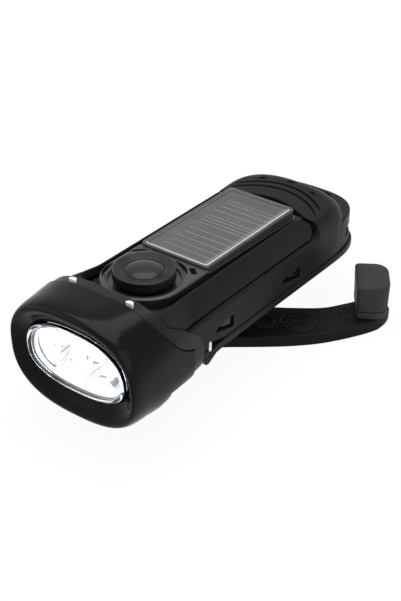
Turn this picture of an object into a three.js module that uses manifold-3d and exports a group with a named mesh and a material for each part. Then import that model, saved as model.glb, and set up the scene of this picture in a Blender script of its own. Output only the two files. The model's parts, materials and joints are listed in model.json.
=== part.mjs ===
// Hand crank flashlight with a solar module, a flared head and a crank arm that swings under the body.
// Millimetres, +Z up, +Y towards the tail, the lens looks along -Y. The arm's underside is at Z = 0.
import * as THREE from "three";
import { mergeVertices } from "three/addons/utils/BufferGeometryUtils.js";
import Module from "manifold-3d";

const wasm = await Module();
wasm.setup();

// Clearances and shared thicknesses
const snug = 0.12;
const bearing = 0.08;
const fit = 0.25;
const running = 0.35;
const weld = 0.0005;
const wall = 1.8;
const beyond = 40;

// Levels of the body, each above the one before
const floorLow = 17.8;
const floorThick = 2.0;
const flangeHigh = 2.8;
const flangeTop = floorLow + flangeHigh;
const lowerHigh = 12.8;
const seamLevel = flangeTop + lowerHigh;
const deckRise = 5.5;
const deckTop = seamLevel + deckRise;
const podRise = 3.4;
const podTop = deckTop + podRise;
const moduleRise = 0.9;
const moduleTop = podTop + moduleRise;
const buttonRise = 3.0;
const buttonTop = podTop + buttonRise;

// Plan of the body
const bodyHalf = 21.3;
const bodyFront = -15.2;
const sideThick = 2.0;
const innerWallGap = 2.4;
const innerWallHalf = bodyHalf - innerWallGap;
const innerWallThick = 1.5;

// Lens window and head
const lensHalf = 19.8;
const cheek = 5.2;
const headHalf = lensHalf + cheek;
const headFront = -48.3;
const headLong = 36.3;
const headDrop = 6.4;
const headMiddle = seamLevel - headDrop;
const headUp = 20.2;
const headDown = 19.4;

// Head sections from the rear to the rim: shares of its length, half width, middle level and reach, with the
// power and the lean of each section
const headShares = [
  { back: 1.0, half: 0.968, middle: 1.0, up: 0.9653, down: 0.6443, power: 3.4, lean: 0 },
  { back: 0.7658, half: 0.98, middle: 1.0, up: 0.9752, down: 0.7474, power: 3.3, lean: 0 },
  { back: 0.3939, half: 0.996, middle: 1.0, up: 0.9901, down: 0.9433, power: 3.0, lean: 0 },
  { back: 0.2011, half: 1.0, middle: 0.9926, up: 1.0, down: 0.9897, power: 2.7, lean: -0.1 },
  { back: 0.0523, half: 0.996, middle: 0.9815, up: 0.9901, down: 1.0, power: 2.45, lean: -0.15 },
  { back: 0.0165, half: 0.976, middle: 0.9815, up: 0.9653, down: 0.9742, power: 2.45, lean: -0.15 },
  { back: 0, half: 0.932, middle: 0.9815, up: 0.9109, down: 0.9175, power: 2.45, lean: -0.15 },
];
const headSteps = 40;
const sweepReach = 63.3;
const sweepTop = 17.9;
const bezelWall = 1.9;
const bezelSkin = 0.45;
const rimWidth = 0.5;
const rimLead = 0.4;
const collarTongue = 4.0;
const collarDepth = 3.8;

// Rear edge of the bezel seen from the side, in Y and Z
const edgeTop = { along: -35.0, level: 44.5 };
const edgeBendTop = { along: -34.8, level: 40.0 };
const edgeBendLow = { along: -26.4, level: 29.0 };
const edgeLow = { along: -19.4, level: 28.0 };

// Rear edge of the collar, seen the same way
const collarTop = { along: -30.9, level: 42.5 };
const collarBendTop = { along: -30.6, level: 37.5 };
const collarBendLow = { along: -14.6, level: 35.4 };
const collarLow = { along: -14.6, level: 25.0 };

// Lens, reflector and lamps
const lensDrop = 0.1;
const lensMiddle = headMiddle - lensDrop;
const lensWindow = {
  along: -45.5,
  half: lensHalf,
  middle: lensMiddle,
  up: 12.8,
  down: 10.7,
  power: 2.4,
  lean: -0.06,
};
const lensFront = -46.3;
const wallFront = -43.2;
const lensFlange = 1.3;
const flangeThick = 1.0;
const sealThick = 0.8;
const sealInset = 0.6;
const reflectorDeep = 5.8;
const reflectorTaper = 6.4;
const cupMouth = 6.25;
const cupMargin = 0.65;
const cupSpacing = lensHalf - cupMouth - cupMargin;
const cupThroat = 2.9;
const cupTallShare = 1.25;
const cupSteps = 5;
const lampRadius = 2.5;
const lampLong = 4.6;
const lampBoard = { half: 15.8, low: 24.4, high: 33.0, thick: 1.4 };

// Upper housing: its saddle behind the head, then the straight flanks
const saddleFront = -33.2;
const saddleLong = 19.2;

// Sections of the upper housing as shares: place along the saddle, roof in walls, then points from the seam
// to the deck's middle, across in body halves and up in deck rises
const housingShares = [
  {
    back: 0, roof: 2.2222,
    outline: [
      [0.939, 0], [0.9061, 0.4364], [0.8075, 0.9455],
      [0.6385, 1.3455], [0.4225, 1.5818], [0, 1.6909],
    ],
  },
  {
    back: 0.151, roof: 3.4444,
    outline: [
      [1.0657, 0], [1.0329, 0.8909], [0.9108, 1.5636],
      [0.723, 1.9091], [0.4225, 2.0364], [0, 2.0727],
    ],
  },
  {
    back: 0.2396, roof: 2.7778,
    outline: [
      [1.0704, 0], [1.0235, 0.9455], [0.9061, 1.5636],
      [0.7606, 1.7818], [0.4695, 1.7455], [0, 1.7273],
    ],
  },
  {
    back: 0.349, roof: 1.8333,
    outline: [
      [1.0516, 0], [0.9953, 0.9636], [0.8873, 1.5273],
      [0.7981, 1.6727], [0.6385, 1.3091], [0, 1.2727],
    ],
  },
  {
    back: 0.6094, roof: 1,
    outline: [
      [1.0047, 0], [0.939, 0.9273], [0.8357, 1.4909],
      [0.7887, 1.5636], [0.7465, 1.0545], [0, 1.0182],
    ],
  },
  {
    back: 1, roof: 1,
    outline: [
      [0.9671, 0], [0.9014, 0.8545], [0.7981, 1.4182],
      [0.7559, 1.4727], [0.7324, 1], [0, 1],
    ],
  },
  {
    back: 4.8542, roof: 1,
    outline: [
      [0.9577, 0], [0.892, 0.8364], [0.7887, 1.4182],
      [0.7465, 1.4727], [0.7324, 1], [0, 1],
    ],
  },
];
const flankEnd = 53.0;
const flankCorner = 3.5;
const flankTop = seamLevel + 8.1;
const flankRoundLong = 8.0;
const flankRoundHigh = 7.5;
const housingSkirt = 2.4;

// Pod and push button
const moduleHalf = 13.5;
const buttonAlong = -13.4;
const podCheek = 0.6;
const podHalf = moduleHalf + podCheek;
const podEnd = 51.4;
const podCorner = 3.0;
const podMargin = 0.8;
const podBackRise = 1.0;
const podBackTop = deckTop + podBackRise;
const podStepRise = 2.6;
const podStepTop = deckTop + podStepRise;
const moatRing = 2.1;
const moatRise = 1.5;
const moatFloor = deckTop + moatRise;
const buttonRadius = 10.0;
const moatRadius = buttonRadius + moatRing;
const skirtSink = 0.5;
const buttonSkirtLow = podTop - skirtSink;
const buttonTravel = 1.2;
const buttonDomeRadius = 6.1;
const buttonDomeRise = 0.45;
const buttonDish = 0.5;
const buttonGrooveDeep = 0.22;
const buttonStem = 3.0;
const stemLow = deckTop;
const springHole = 5.0;
const springInner = 3.4;

// Solar module
const moduleFront = 1.1;
const moduleBack = 50.4;
const moduleCorner = 1.7;
const moduleBorder = 1.0;
const cellSink = 0.85;
const cellThick = 0.3;
const lineCount = 12;
const lineWide = 0.3;
const lineThick = 0.1;
const lineFromShare = 0.16;
const lineMarginShare = 0.1;

// Charge window in the pod
const chargeAcross = 10.2;
const chargeAlong = -1.9;
const chargeSide = 2.5;
const chargeDeep = 1.0;

// Switch and circuit board
const boardDrop = 7.0;
const boardLow = deckTop - boardDrop;
const boardThick = 1.6;
const boardHalf = 11.0;
const boardFront = -27.0;
const boardBack = 0.5;
const switchHalf = 3.1;
const switchHigh = 3.3;
const plungerRadius = 1.6;
const plungerWell = 1.7;

// Bumper and tail
const tailPower = 2.5;
const tailStart = 48.0;
const tailApex = 76.0;
const bumperFront = -21.5;
const bumperGap = 0.3;
const tailLow = flangeTop + bumperGap;
const tailHigh = 25.1;

// Outlines of the bumper from its lower edge up: shares of its height, of the body's half width and of the
// place of the tail's apex
const tailShares = [
  { rise: 0, half: 1, start: 0.7895, apex: 1, power: 4 },
  { rise: 0.49, half: 1, start: 0.7895, apex: 0.9974, power: 4 },
  { rise: 0.6414, half: 0.9812, start: 0.7632, apex: 0.9868, power: 3.5 },
  { rise: 0.761, half: 0.9437, start: 0.7368, apex: 0.9605, power: 3 },
  { rise: 1, half: 0.8075, start: 0.6711, apex: 0.9013, power: 2.6 },
];
const tailSteps = 22;
const crownRadius = 190;
const crownFrontRise = 6.3;
const crownFrontLevel = seamLevel + crownFrontRise;
const crownBackRise = 7.8;
const crownBackLevel = seamLevel + crownBackRise;
const crownFrontAt = 53.0;
const crownBackAt = 70.0;
const riseFrom = 49.5;
const riseTo = 53.4;
const recessApex = 57.0;
const recessRadius = 30.0;
const recessHalf = 16.6;
const recessRise = 2.6;
const recessFloor = seamLevel + recessRise;
const arcRadius = 26.4;
const arcFirst = 63.4;
const arcPitch = 3.0;
const arcCount = 2;
const arcHalf = 18.2;
const arcWide = 0.75;
const arcDeep = 0.7;
const dimpleLong = 1.7;
const dimpleWide = 0.95;
const dimpleDeep = 1.2;
const dimpleSpread = 10.3;
const dimpleSide = 66.6;
const dimpleMiddle = 69.0;

// Tail shelf with the lanyard slot
const shelfDrop = 1.0;
const shelfTop = seamLevel - shelfDrop;
const shelfInset = 0.2;
const shelfHalf = bodyHalf - shelfInset;
const shelfReach = 10.6;
const shelfApex = tailApex + shelfReach;
const shelfStart = 60.0;
const shelfPower = 3.0;
const slotHalf = 7.5;
const slotRim = 2.2;
const slotBack = shelfApex - slotRim;
const slotCorner = 2.2;
const notchRise = 3.0;
const notchLow = flangeTop + notchRise;
const notchTall = 3.8;
const notchHigh = notchLow + notchTall;
const notchFront = 73.5;
const notchDeep = 2.0;

// Bottom shell
const flangeLip = 0.1;
const flangeHalf = bodyHalf + flangeLip;
const flangeReach = 0.8;
const flangeApex = shelfApex + flangeReach;
const flangeStart = 62.0;
const flangePower = 3.2;
const innerEnd = 70.0;
const tongueHalf = 13.5;
const tongueFront = -31.2;
const tongueRise = 4.8;
const tongueLow = floorLow + tongueRise;
const tongueThick = 1.5;
const bridgeRise = 8.2;
const bridgeLow = floorLow + bridgeRise;
const bridgeHalf = 15.0;
const railDrop = 2.4;
const railLow = floorLow - railDrop;
const railEnd = -9.6;
const railLead = 1.6;
const railKnee = -4.3;
const railNose = -8.2;

// Side windows: front point, rear end and levels on the bumper
const frontWindow = { from: -5.0, to: 5.0 };
const rearWindow = { from: 31.8, to: 42.8 };
const windows = [frontWindow, rearWindow];
const sillRise = 2.2;
const windowLow = flangeTop + sillRise;
const lintelRise = 6.6;
const windowTop = flangeTop + lintelRise;
const noseRise = 4.3;
const windowNose = flangeTop + noseRise;
const hookReach = 1.5;
const hookLong = 5.6;
const hookHigh = 3.0;
const wedgeTip = 2.0;
const wedgeFront = -8.1;
const wedgeBend = -4.6;
const wedgeHigh = 3.1;
const wedgeDrop = 1.8;

// White snap lugs behind the head and in the side gap
const lugSpread = 11.2;
const lugRadius = 1.4;
const lugRise = 16.2;
const lugTall = 3.7;
const lugLow = headMiddle + lugRise;
const lugHigh = lugLow + lugTall;
const lugAlong = -34.0;
const sideLug = { long: 1.4, wide: 1.85, low: 1.2, high: 2.2 };

// Screws under the body
const frontScrew = { across: 14.1, along: -10.6 };
const rearScrew = { across: 16.3, along: 74.5 };
const screwSpots = [frontScrew, rearScrew].flatMap(({ across, along }) => [
  [across, along],
  [-across, along],
]);
const screwHead = 2.3;
const screwHeadHigh = 1.1;
const screwSink = 0.3;
const screwShank = 1.1;
const screwLong = 7.5;
const postRadius = 2.5;
const crossLongShare = 0.6;
const crossSlimShare = 0.16;
const crossDeepShare = 0.25;

// Crank
const pivotAlong = 28.0;
const bossLow = 4.65;
const bossFoot = 9.2;
const bossRoot = 11.0;
const bossWall = 1.9;
const shaftRadius = 2.5;
const shaftLow = 1.7;
const armThick = 4.3;
const hubRadius = 10.3;
const armTurn = -44.3;

// The arm's sides from the hub round the tip and back: shares of the hub's radius and of the knob's reach
const armSideShares = [
  [1.165, 0.2538], [1.2233, 0.4323], [1.1553, 0.6203], [0.932, 0.8459], [0.7379, 1.0056],
  [0.3883, 1.094], [-0.1456, 1.1165], [-0.5728, 1.0639], [-0.6117, 0.9492],
  [-0.4854, 0.8365], [-0.3495, 0.6767], [-0.5243, 0.4511], [-0.835, 0.188],
];
const bigMark = { across: 4.2, along: 25.8, radius: 6.1 };
const hubMark = { across: 2.6, along: 13.6, radius: 4.2 };
const nearMark = { across: 6.0, along: 43.0, radius: 1.7 };
const farMark = { across: -0.6, along: 42.6, radius: 1.9 };
const ringWide = 0.5;
const ringHigh = 0.3;
const tipRise = 2.6;
const tipLong = 11.0;
const armScrewHead = 3.6;
const armScrewHigh = 1.1;

// Knob
const knobReach = 53.2;
const knobShift = -0.9;
const knobTurn = -11.6;
const knobHalf = 8.5;
const knobFlat = 5.5;
const knobCorner = 1.5;
const knobBulge = 5.0;
const footTop = 6.9;
const knobLow = 7.15;
const knobTop = 16.7;
const knobTuck = 0.5;
const knobRound = 0.5;
const knobCrown = 1.3;
const pinRadius = 1.6;
const pinHead = 2.6;
const pinHeadHigh = 0.9;
const pinTop = 15.2;

// Dynamo
const toothModule = 0.7;
const toothTipShare = 0.85;
const toothRootShare = 1.1;
const rootWideShare = 0.3;
const tipWideShare = 0.12;
const crankTeeth = 36;
const pinionTeeth = 10;
const idlerTeeth = 30;
const rotorTeeth = 8;
const gearRise = 3.5;
const gearLow = floorLow + gearRise;
const gearThick = 2.8;
const gearStep = 0.5;
const idlerShiftShare = -0.37;
const rotorShiftShare = 0.15;
const axleRadius = 1.2;
const bearingRadius = 2.5;
const plateThick = 1.2;
const plateRise = 10.2;
const plateLow = floorLow + plateRise;
const plateHalf = 15.2;
const plateFront = 15.2;
const plateMiddle = 39.8;
const plateBack = 47.0;
const plateTab = 5.0;
const pillarRadius = 1.6;
const pillarHalf = 13.4;
const pillarFront = 17.0;
const pillarBack = 37.4;
const rotorRadius = 6.9;
const rotorRise = 10.4;
const rotorLow = floorLow + rotorRise;
const rotorHigh = 3.2;
const coilThick = 0.9;
const statorThick = 1.3;

// Cells
const cellRadius = 5.6;
const cellLong = 5.0;
const cellAcross = 11.0;
const cellGap = 0.75;
const cellAlong = plateMiddle + cellGap + fit + cellLong * 1.5;

const smooth = 32;
const coarse = 20;
const hubSteps = 14;
const armSteps = 36;

function solid(geometry) {
  const bare = geometry.clone();
  bare.deleteAttribute("normal");
  bare.deleteAttribute("uv");
  const joined = mergeVertices(bare, weld);
  const mesh = new wasm.Mesh({
    numProp: 3,
    vertProperties: new Float32Array(joined.attributes.position.array),
    triVerts: new Uint32Array(joined.index.array),
  });
  return new wasm.Manifold(mesh);
}

function prism(outline, low, high, steps = smooth) {
  const geometry = new THREE.ExtrudeGeometry(outline, {
    depth: high - low,
    bevelEnabled: false,
    curveSegments: steps,
  });
  geometry.translate(0, 0, low);
  return solid(geometry);
}

function prismAcross(outline, from, to, steps = smooth) {
  const geometry = new THREE.ExtrudeGeometry(outline, {
    depth: to - from,
    bevelEnabled: false,
    curveSegments: steps,
  });
  const turn = new THREE.Matrix4().makeBasis(
    new THREE.Vector3(0, 1, 0),
    new THREE.Vector3(0, 0, 1),
    new THREE.Vector3(1, 0, 0),
  );
  geometry.applyMatrix4(turn);
  geometry.translate(from, 0, 0);
  return solid(geometry);
}

function polygon(points) {
  return new THREE.Shape(points.map(([u, v]) => new THREE.Vector2(u, v)));
}

function box(x0, x1, y0, y1, z0, z1) {
  return prism(polygon([[x0, y0], [x1, y0], [x1, y1], [x0, y1]]), z0, z1);
}

function roundedRect(x0, x1, y0, y1, radius) {
  const shape = new THREE.Shape();
  shape.moveTo(x0 + radius, y0);
  shape.lineTo(x1 - radius, y0);
  shape.absarc(x1 - radius, y0 + radius, radius, -Math.PI / 2, 0, false);
  shape.lineTo(x1, y1 - radius);
  shape.absarc(x1 - radius, y1 - radius, radius, 0, Math.PI / 2, false);
  shape.lineTo(x0 + radius, y1);
  shape.absarc(x0 + radius, y1 - radius, radius, Math.PI / 2, Math.PI, false);
  shape.lineTo(x0, y0 + radius);
  shape.absarc(x0 + radius, y0 + radius, radius, Math.PI, Math.PI * 1.5, false);
  return shape;
}

function cone(lowRadius, highRadius, low, high, x = 0, y = 0, sides = coarse) {
  const geometry = new THREE.CylinderGeometry(highRadius, lowRadius, high - low, sides);
  geometry.rotateX(Math.PI / 2);
  geometry.translate(x, y, (low + high) / 2);
  return solid(geometry);
}

function disc(radius, low, high, x = 0, y = 0, sides = coarse) {
  return cone(radius, radius, low, high, x, y, sides);
}

function turned(profile, sides) {
  const geometry = new THREE.LatheGeometry(profile.map(([r, z]) => new THREE.Vector2(r, z)), sides);
  geometry.rotateX(Math.PI / 2);
  return solid(geometry);
}

// Skins a row of closed rings with the same number of points and closes both ends.
function skin(rings, flatten) {
  const count = rings[0].length;
  const positions = rings.flat().flatMap((p) => [p.x, p.y, p.z]);
  const faces = [];
  for (let row = 0; row + 1 < rings.length; row += 1) {
    for (let i = 0; i < count; i += 1) {
      const next = (i + 1) % count;
      const a = row * count + i;
      const b = row * count + next;
      faces.push([a, b, b + count], [a, b + count, a + count]);
    }
  }
  const last = (rings.length - 1) * count;
  for (const [i, j, k] of THREE.ShapeUtils.triangulateShape(rings[0].map(flatten), [])) {
    faces.push([k, j, i]);
  }
  for (const [i, j, k] of THREE.ShapeUtils.triangulateShape(rings[rings.length - 1].map(flatten), [])) {
    faces.push([last + i, last + j, last + k]);
  }
  const geometry = new THREE.BufferGeometry();
  geometry.setAttribute("position", new THREE.Float32BufferAttribute(positions, 3));
  const inward = signedVolume(positions, faces) < 0;
  geometry.setIndex(faces.flatMap(([i, j, k]) => (inward ? [i, k, j] : [i, j, k])));
  return solid(geometry);
}

function signedVolume(positions, faces) {
  const at = (i) => new THREE.Vector3().fromArray(positions, i * 3);
  return faces.reduce((sum, [i, j, k]) => sum + at(i).dot(at(j).cross(at(k))), 0);
}

const frontView = (p) => new THREE.Vector2(p.x, p.z);
const planView = (p) => new THREE.Vector2(p.x, p.y);

function power(value, exponent) {
  return Math.sign(value) * Math.abs(value) ** exponent;
}

const headSections = headShares.map((share) => ({
  along: headFront + share.back * headLong,
  half: share.half * headHalf,
  middle: share.middle * headMiddle,
  up: share.up * headUp,
  down: share.down * headDown,
  power: share.power,
  lean: share.lean,
}));

function headRing(section, inset) {
  const ring = [];
  for (let i = 0; i < headSteps; i += 1) {
    const angle = (2 * Math.PI * i) / headSteps;
    const rise = power(Math.sin(angle), 2 / section.power);
    const reach = (rise > 0 ? section.up : section.down) - inset;
    const x = power(Math.cos(angle), 2 / section.power) * (section.half - inset);
    const z = section.middle + rise * reach;
    ring.push(new THREE.Vector3(x, section.along + section.lean * (z - section.middle), z));
  }
  return ring;
}

function headSectionAt(along) {
  const upper = headSections.findIndex((section) => section.along <= along);
  const b = headSections[Math.max(upper, 1)];
  const a = headSections[Math.max(upper, 1) - 1];
  const share = (along - a.along) / (b.along - a.along);
  const mix = (key) => a[key] + (b[key] - a[key]) * share;
  return {
    along,
    half: mix("half"),
    middle: mix("middle"),
    up: mix("up"),
    down: mix("down"),
    power: mix("power"),
    lean: 0,
  };
}

function headForm(inset, stops) {
  return skin(stops.map((along) => headRing(headSectionAt(along), inset)), frontView);
}

// The region behind an edge curve of the head, moved back by a shift.
function behindCurve(top, bendTop, bendLow, low, shift) {
  const shape = new THREE.Shape();
  shape.moveTo(top.along + shift, top.level + beyond);
  shape.lineTo(top.along + shift, top.level);
  shape.bezierCurveTo(
    bendTop.along + shift, bendTop.level,
    bendLow.along + shift, bendLow.level,
    low.along + shift, low.level,
  );
  shape.lineTo(low.along + shift, -beyond);
  shape.lineTo(beyond, -beyond);
  shape.lineTo(beyond, top.level + beyond);
  return prismAcross(shape, -beyond, beyond, 14);
}

function behindEdge(shift) {
  return behindCurve(edgeTop, edgeBendTop, edgeBendLow, edgeLow, shift);
}

function behindCollar(shift) {
  return behindCurve(collarTop, collarBendTop, collarBendLow, collarLow, shift);
}

const middleStop = headSections[2].along;
const rearStop = headSections[0].along;

// The room that the knob sweeps below the head, grown by a skin.
function sweep(grow) {
  return disc(sweepReach + grow, -beyond, sweepTop + grow, 0, pivotAlong, 72);
}

function passage(grow) {
  const stops = [rearStop + wall, headSections[1].along, middleStop, wallFront - wall];
  return headForm(collarDepth + grow, stops).subtract(sweep(collarDepth + grow));
}

function headZone() {
  return headForm(-wall, [rearStop, middleStop, wallFront]).subtract(behindCollar(fit));
}

function collarZone() {
  return headZone().subtract(passage(fit));
}

function windowRing(section, inset, along) {
  return headRing({ ...section, along }, inset);
}

function makeBezel() {
  const outer = skin(headSections.map((section) => headRing(section, 0)), frontView);
  const stops = [rearStop + wall, headSections[1].along, middleStop, headSections[3].along, wallFront];
  const hollow = headForm(bezelWall, stops).subtract(sweep(bezelWall));
  const rim = headSections[headSections.length - 1];
  const bevel = skin([
    windowRing(rim, rimWidth - rimLead, rim.along - 2 * rimLead),
    windowRing(rim, rimWidth, rim.along + rimLead),
    windowRing(lensWindow, 0, lensWindow.along),
  ], frontView);
  const opening = skin([
    windowRing(lensWindow, 0, lensWindow.along - wall),
    windowRing(lensWindow, 0, wallFront + wall),
  ], frontView);
  return outer.subtract(sweep(0)).subtract(hollow).subtract(bevel).subtract(opening).subtract(behindEdge(0));
}

function makeCollar() {
  const stops = [rearStop, headSections[1].along, middleStop, wallFront + wall];
  const band = headForm(bezelSkin, stops)
    .subtract(sweep(bezelSkin))
    .subtract(behindCollar(0))
    .intersect(behindEdge(running));
  const tongue = headForm(bezelWall + fit, stops)
    .subtract(sweep(bezelWall + fit))
    .subtract(behindEdge(running + bezelSkin))
    .intersect(behindEdge(-collarTongue));
  const holes = [-1, 1].map((side) => {
    return disc(lugRadius + fit, lugLow - wall, beyond + lugHigh, side * lugSpread, lugAlong, 16);
  });
  return band.add(tongue).subtract(passage(0)).subtract(holes[0]).subtract(holes[1]);
}

function makeLens() {
  const front = skin([
    windowRing(lensWindow, wall, lensFront),
    windowRing(lensWindow, wall / 2, lensFront + fit),
    windowRing(lensWindow, fit, lensFront + 2 * fit),
    windowRing({ ...lensWindow, lean: 0 }, fit, wallFront + fit),
  ], frontView);
  const flange = skin([
    windowRing({ ...lensWindow, lean: 0 }, -lensFlange, wallFront + fit),
    windowRing({ ...lensWindow, lean: 0 }, -lensFlange, wallFront + fit + flangeThick),
  ], frontView);
  return front.add(flange);
}

function makeSeal() {
  const flat = { ...lensWindow, lean: 0 };
  const low = wallFront + 2 * fit + flangeThick;
  const band = (inset, from, to) => {
    return skin([windowRing(flat, inset, from), windowRing(flat, inset, to)], frontView);
  };
  return band(-lensFlange, low, low + sealThick).subtract(band(sealInset, low - wall, low + wall));
}

const reflectorFront = wallFront + 2 * fit + flangeThick + sealThick + snug;
const reflectorBack = reflectorFront + reflectorDeep;

function makeReflector() {
  const flat = { ...lensWindow, lean: 0 };
  const rear = { ...flat, down: flat.down - reflectorTaper, up: flat.up - wall };
  const block = skin([
    windowRing(flat, -lensFlange / 2, reflectorFront),
    windowRing(rear, 0, reflectorBack),
  ], frontView);
  return [-1, 0, 1].reduce((body, side) => body.subtract(makeCup(side * cupSpacing)), block);
}

function makeCup(x) {
  const profile = [[0, 0]];
  for (let i = 0; i <= cupSteps; i += 1) {
    const share = i / cupSteps;
    profile.push([cupThroat + (cupMouth - cupThroat) * Math.sqrt(share), reflectorDeep * share]);
  }
  profile.splice(1, 0, [cupThroat, -wall]);
  profile[0] = [0, -wall];
  profile.push([cupMouth, reflectorDeep + wall], [0, reflectorDeep + wall]);
  const geometry = new THREE.LatheGeometry(profile.map(([r, d]) => new THREE.Vector2(r, d)), coarse);
  geometry.rotateX(Math.PI);
  geometry.scale(1, 1, cupTallShare);
  geometry.translate(x, reflectorBack, lensWindow.middle);
  return solid(geometry);
}

function makeLamps() {
  const profile = [[0, 0], [lampRadius, 0], [lampRadius, lampLong - lampRadius]];
  for (let i = 1; i < 5; i += 1) {
    const angle = (i / 5) * (Math.PI / 2);
    profile.push([lampRadius * Math.cos(angle), lampLong - lampRadius + lampRadius * Math.sin(angle)]);
  }
  profile.push([0, lampLong]);
  return [-1, 0, 1].map((side) => {
    const geometry = new THREE.LatheGeometry(profile.map(([r, d]) => new THREE.Vector2(r, d)), 16);
    geometry.rotateX(Math.PI);
    geometry.translate(side * cupSpacing, reflectorBack + fit, lensWindow.middle);
    return solid(geometry);
  });
}

function makeLampBoard() {
  const low = reflectorBack + 2 * fit;
  return box(-lampBoard.half, lampBoard.half, low, low + lampBoard.thick, lampBoard.low, lampBoard.high);
}

function housingForm(inset, drop, roofShare) {
  const rings = housingShares.map(({ back, roof, outline }) => {
    const along = saddleFront + back * saddleLong;
    const sunk = roof * wall * roofShare;
    const half = outline.map(([across, rise], i) => {
      const sideways = Math.max(across * bodyHalf - inset, 0);
      const level = seamLevel + rise * deckRise;
      return new THREE.Vector3(sideways, along, i === 0 ? level - drop : level - sunk);
    });
    const mirrored = half.slice(0, -1).reverse().map((p) => new THREE.Vector3(-p.x, p.y, p.z));
    return half.concat(mirrored);
  });
  return skin(rings, frontView);
}

function tailRing(level, half, start, apex, exponent, front) {
  const ring = [new THREE.Vector3(-half, front, level), new THREE.Vector3(half, front, level)];
  const bend = Math.max(start, front + fit);
  for (let i = 0; i <= tailSteps; i += 1) {
    const angle = (Math.PI * i) / tailSteps;
    const x = power(Math.cos(angle), 2 / exponent) * half;
    const y = bend + power(Math.sin(angle), 2 / exponent) * (apex - bend);
    ring.push(new THREE.Vector3(x, y, level));
  }
  return ring;
}

function tailBlock(half, start, apex, exponent, front, low, high) {
  return skin([
    tailRing(low, half, start, apex, exponent, front),
    tailRing(high, half, start, apex, exponent, front),
  ], planView);
}

function flankTrim(grow) {
  const half = housingShares[housingShares.length - 1].outline[0][0] * bodyHalf + grow;
  const corner = flankCorner + grow;
  const end = flankEnd + grow;
  const shape = new THREE.Shape();
  shape.moveTo(-half - beyond, -2 * beyond);
  shape.lineTo(half + beyond, -2 * beyond);
  shape.lineTo(half + beyond, 0);
  shape.lineTo(half, 0);
  shape.lineTo(half, end - corner);
  shape.absarc(half - corner, end - corner, corner, 0, Math.PI / 2, false);
  shape.absarc(-half + corner, end - corner, corner, Math.PI / 2, Math.PI, false);
  shape.lineTo(-half, 0);
  shape.lineTo(-half - beyond, 0);
  return shape;
}

// The region under the flanks' rounded rear end, seen from the side.
function flankUnder(grow) {
  const end = flankEnd + grow;
  const top = flankTop + grow;
  const shape = new THREE.Shape();
  shape.moveTo(-2 * beyond, -beyond);
  shape.lineTo(end, -beyond);
  shape.lineTo(end, top - flankRoundHigh);
  shape.absellipse(
    end - flankRoundLong, top - flankRoundHigh,
    flankRoundLong, flankRoundHigh,
    0, Math.PI / 2, false,
  );
  shape.lineTo(end - flankRoundLong - beyond / 8, top + beyond);
  shape.lineTo(-2 * beyond, top + beyond);
  return prismAcross(shape, -beyond, beyond, 10);
}

function screwHole(x, y) {
  const low = floorLow + screwSink;
  return disc(screwShank + snug, low, low + screwLong + fit, x, y, 12);
}

// The deck between the flanks, which keeps its full height to the rear.
function deckBack() {
  const half = podHalf + podMargin;
  return box(-half, half, -2 * beyond, 2 * beyond, -beyond, deckTop + fit);
}

function makeHousing() {
  const trim = prism(flankTrim(0), seamLevel - beyond, seamLevel + beyond, 8);
  const outer = housingForm(0, 0, 0).intersect(trim).intersect(flankUnder(0).add(deckBack()));
  const room = prism(flankTrim(-wall), 0, beyond + seamLevel, 8).intersect(flankUnder(-wall).add(deckBack()));
  const inner = housingForm(wall, housingSkirt, 1).intersect(room);
  const nose = prism(podPlan(podMargin), deckTop, deckTop + beyond, 14);
  const open = disc(buttonStem + snug, 0, beyond + deckTop, 0, buttonAlong);
  const shell = outer.subtract(inner).subtract(nose).subtract(open).subtract(collarZone());
  const stand = boardLow + boardThick + snug;
  const screwed = screwSpots.filter(([, y]) => y < 0).reduce((body, [x, y]) => {
    const low = floorLow + floorThick + snug;
    return body.add(disc(postRadius, low, deckTop - wall / 2, x, y, 16)).subtract(screwHole(x, y));
  }, shell);
  const spots = [[-1, boardFront], [1, boardFront], [-1, boardBack], [1, boardBack]];
  return spots.reduce((body, [side, along]) => {
    const x = side * (boardHalf - 2 * wall);
    const y = along + (along < buttonAlong ? 2 : -2) * wall;
    return body.add(disc(wall, stand, deckTop - wall / 2, x, y, 12));
  }, screwed);
}

function podPlan(grow) {
  const shape = new THREE.Shape();
  const half = podHalf + grow;
  const end = podEnd + grow;
  shape.absarc(0, buttonAlong, half, Math.PI, 2 * Math.PI, false);
  shape.lineTo(half, end - podCorner);
  shape.absarc(half - podCorner, end - podCorner, podCorner, 0, Math.PI / 2, false);
  shape.lineTo(-half + podCorner, end);
  shape.absarc(-half + podCorner, end - podCorner, podCorner, Math.PI / 2, Math.PI, false);
  return shape;
}

function makePod() {
  const slab = prism(podPlan(0), deckTop + snug, podTop, 14);
  const stepShape = polygon([
    [moduleFront - snug, podStepTop],
    [podEnd, podBackTop],
    [podEnd + beyond, podBackTop],
    [podEnd + beyond, podTop + beyond],
    [moduleFront - snug, podTop + beyond],
  ]);
  const step = prismAcross(stepShape, -beyond, beyond);
  const moat = disc(moatRadius, moatFloor, podTop + wall, 0, buttonAlong, smooth);
  const stem = disc(springHole, deckTop - wall, podTop, 0, buttonAlong);
  const window = diamond(chargeSide + 2 * snug, podTop - chargeDeep - snug, podTop + wall);
  return slab.subtract(step).subtract(moat).subtract(stem).subtract(window);
}

function diamond(side, low, high) {
  const reach = side / Math.SQRT2;
  const x = chargeAcross;
  const y = chargeAlong;
  return prism(polygon([[x - reach, y], [x, y - reach], [x + reach, y], [x, y + reach]]), low, high);
}

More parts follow.
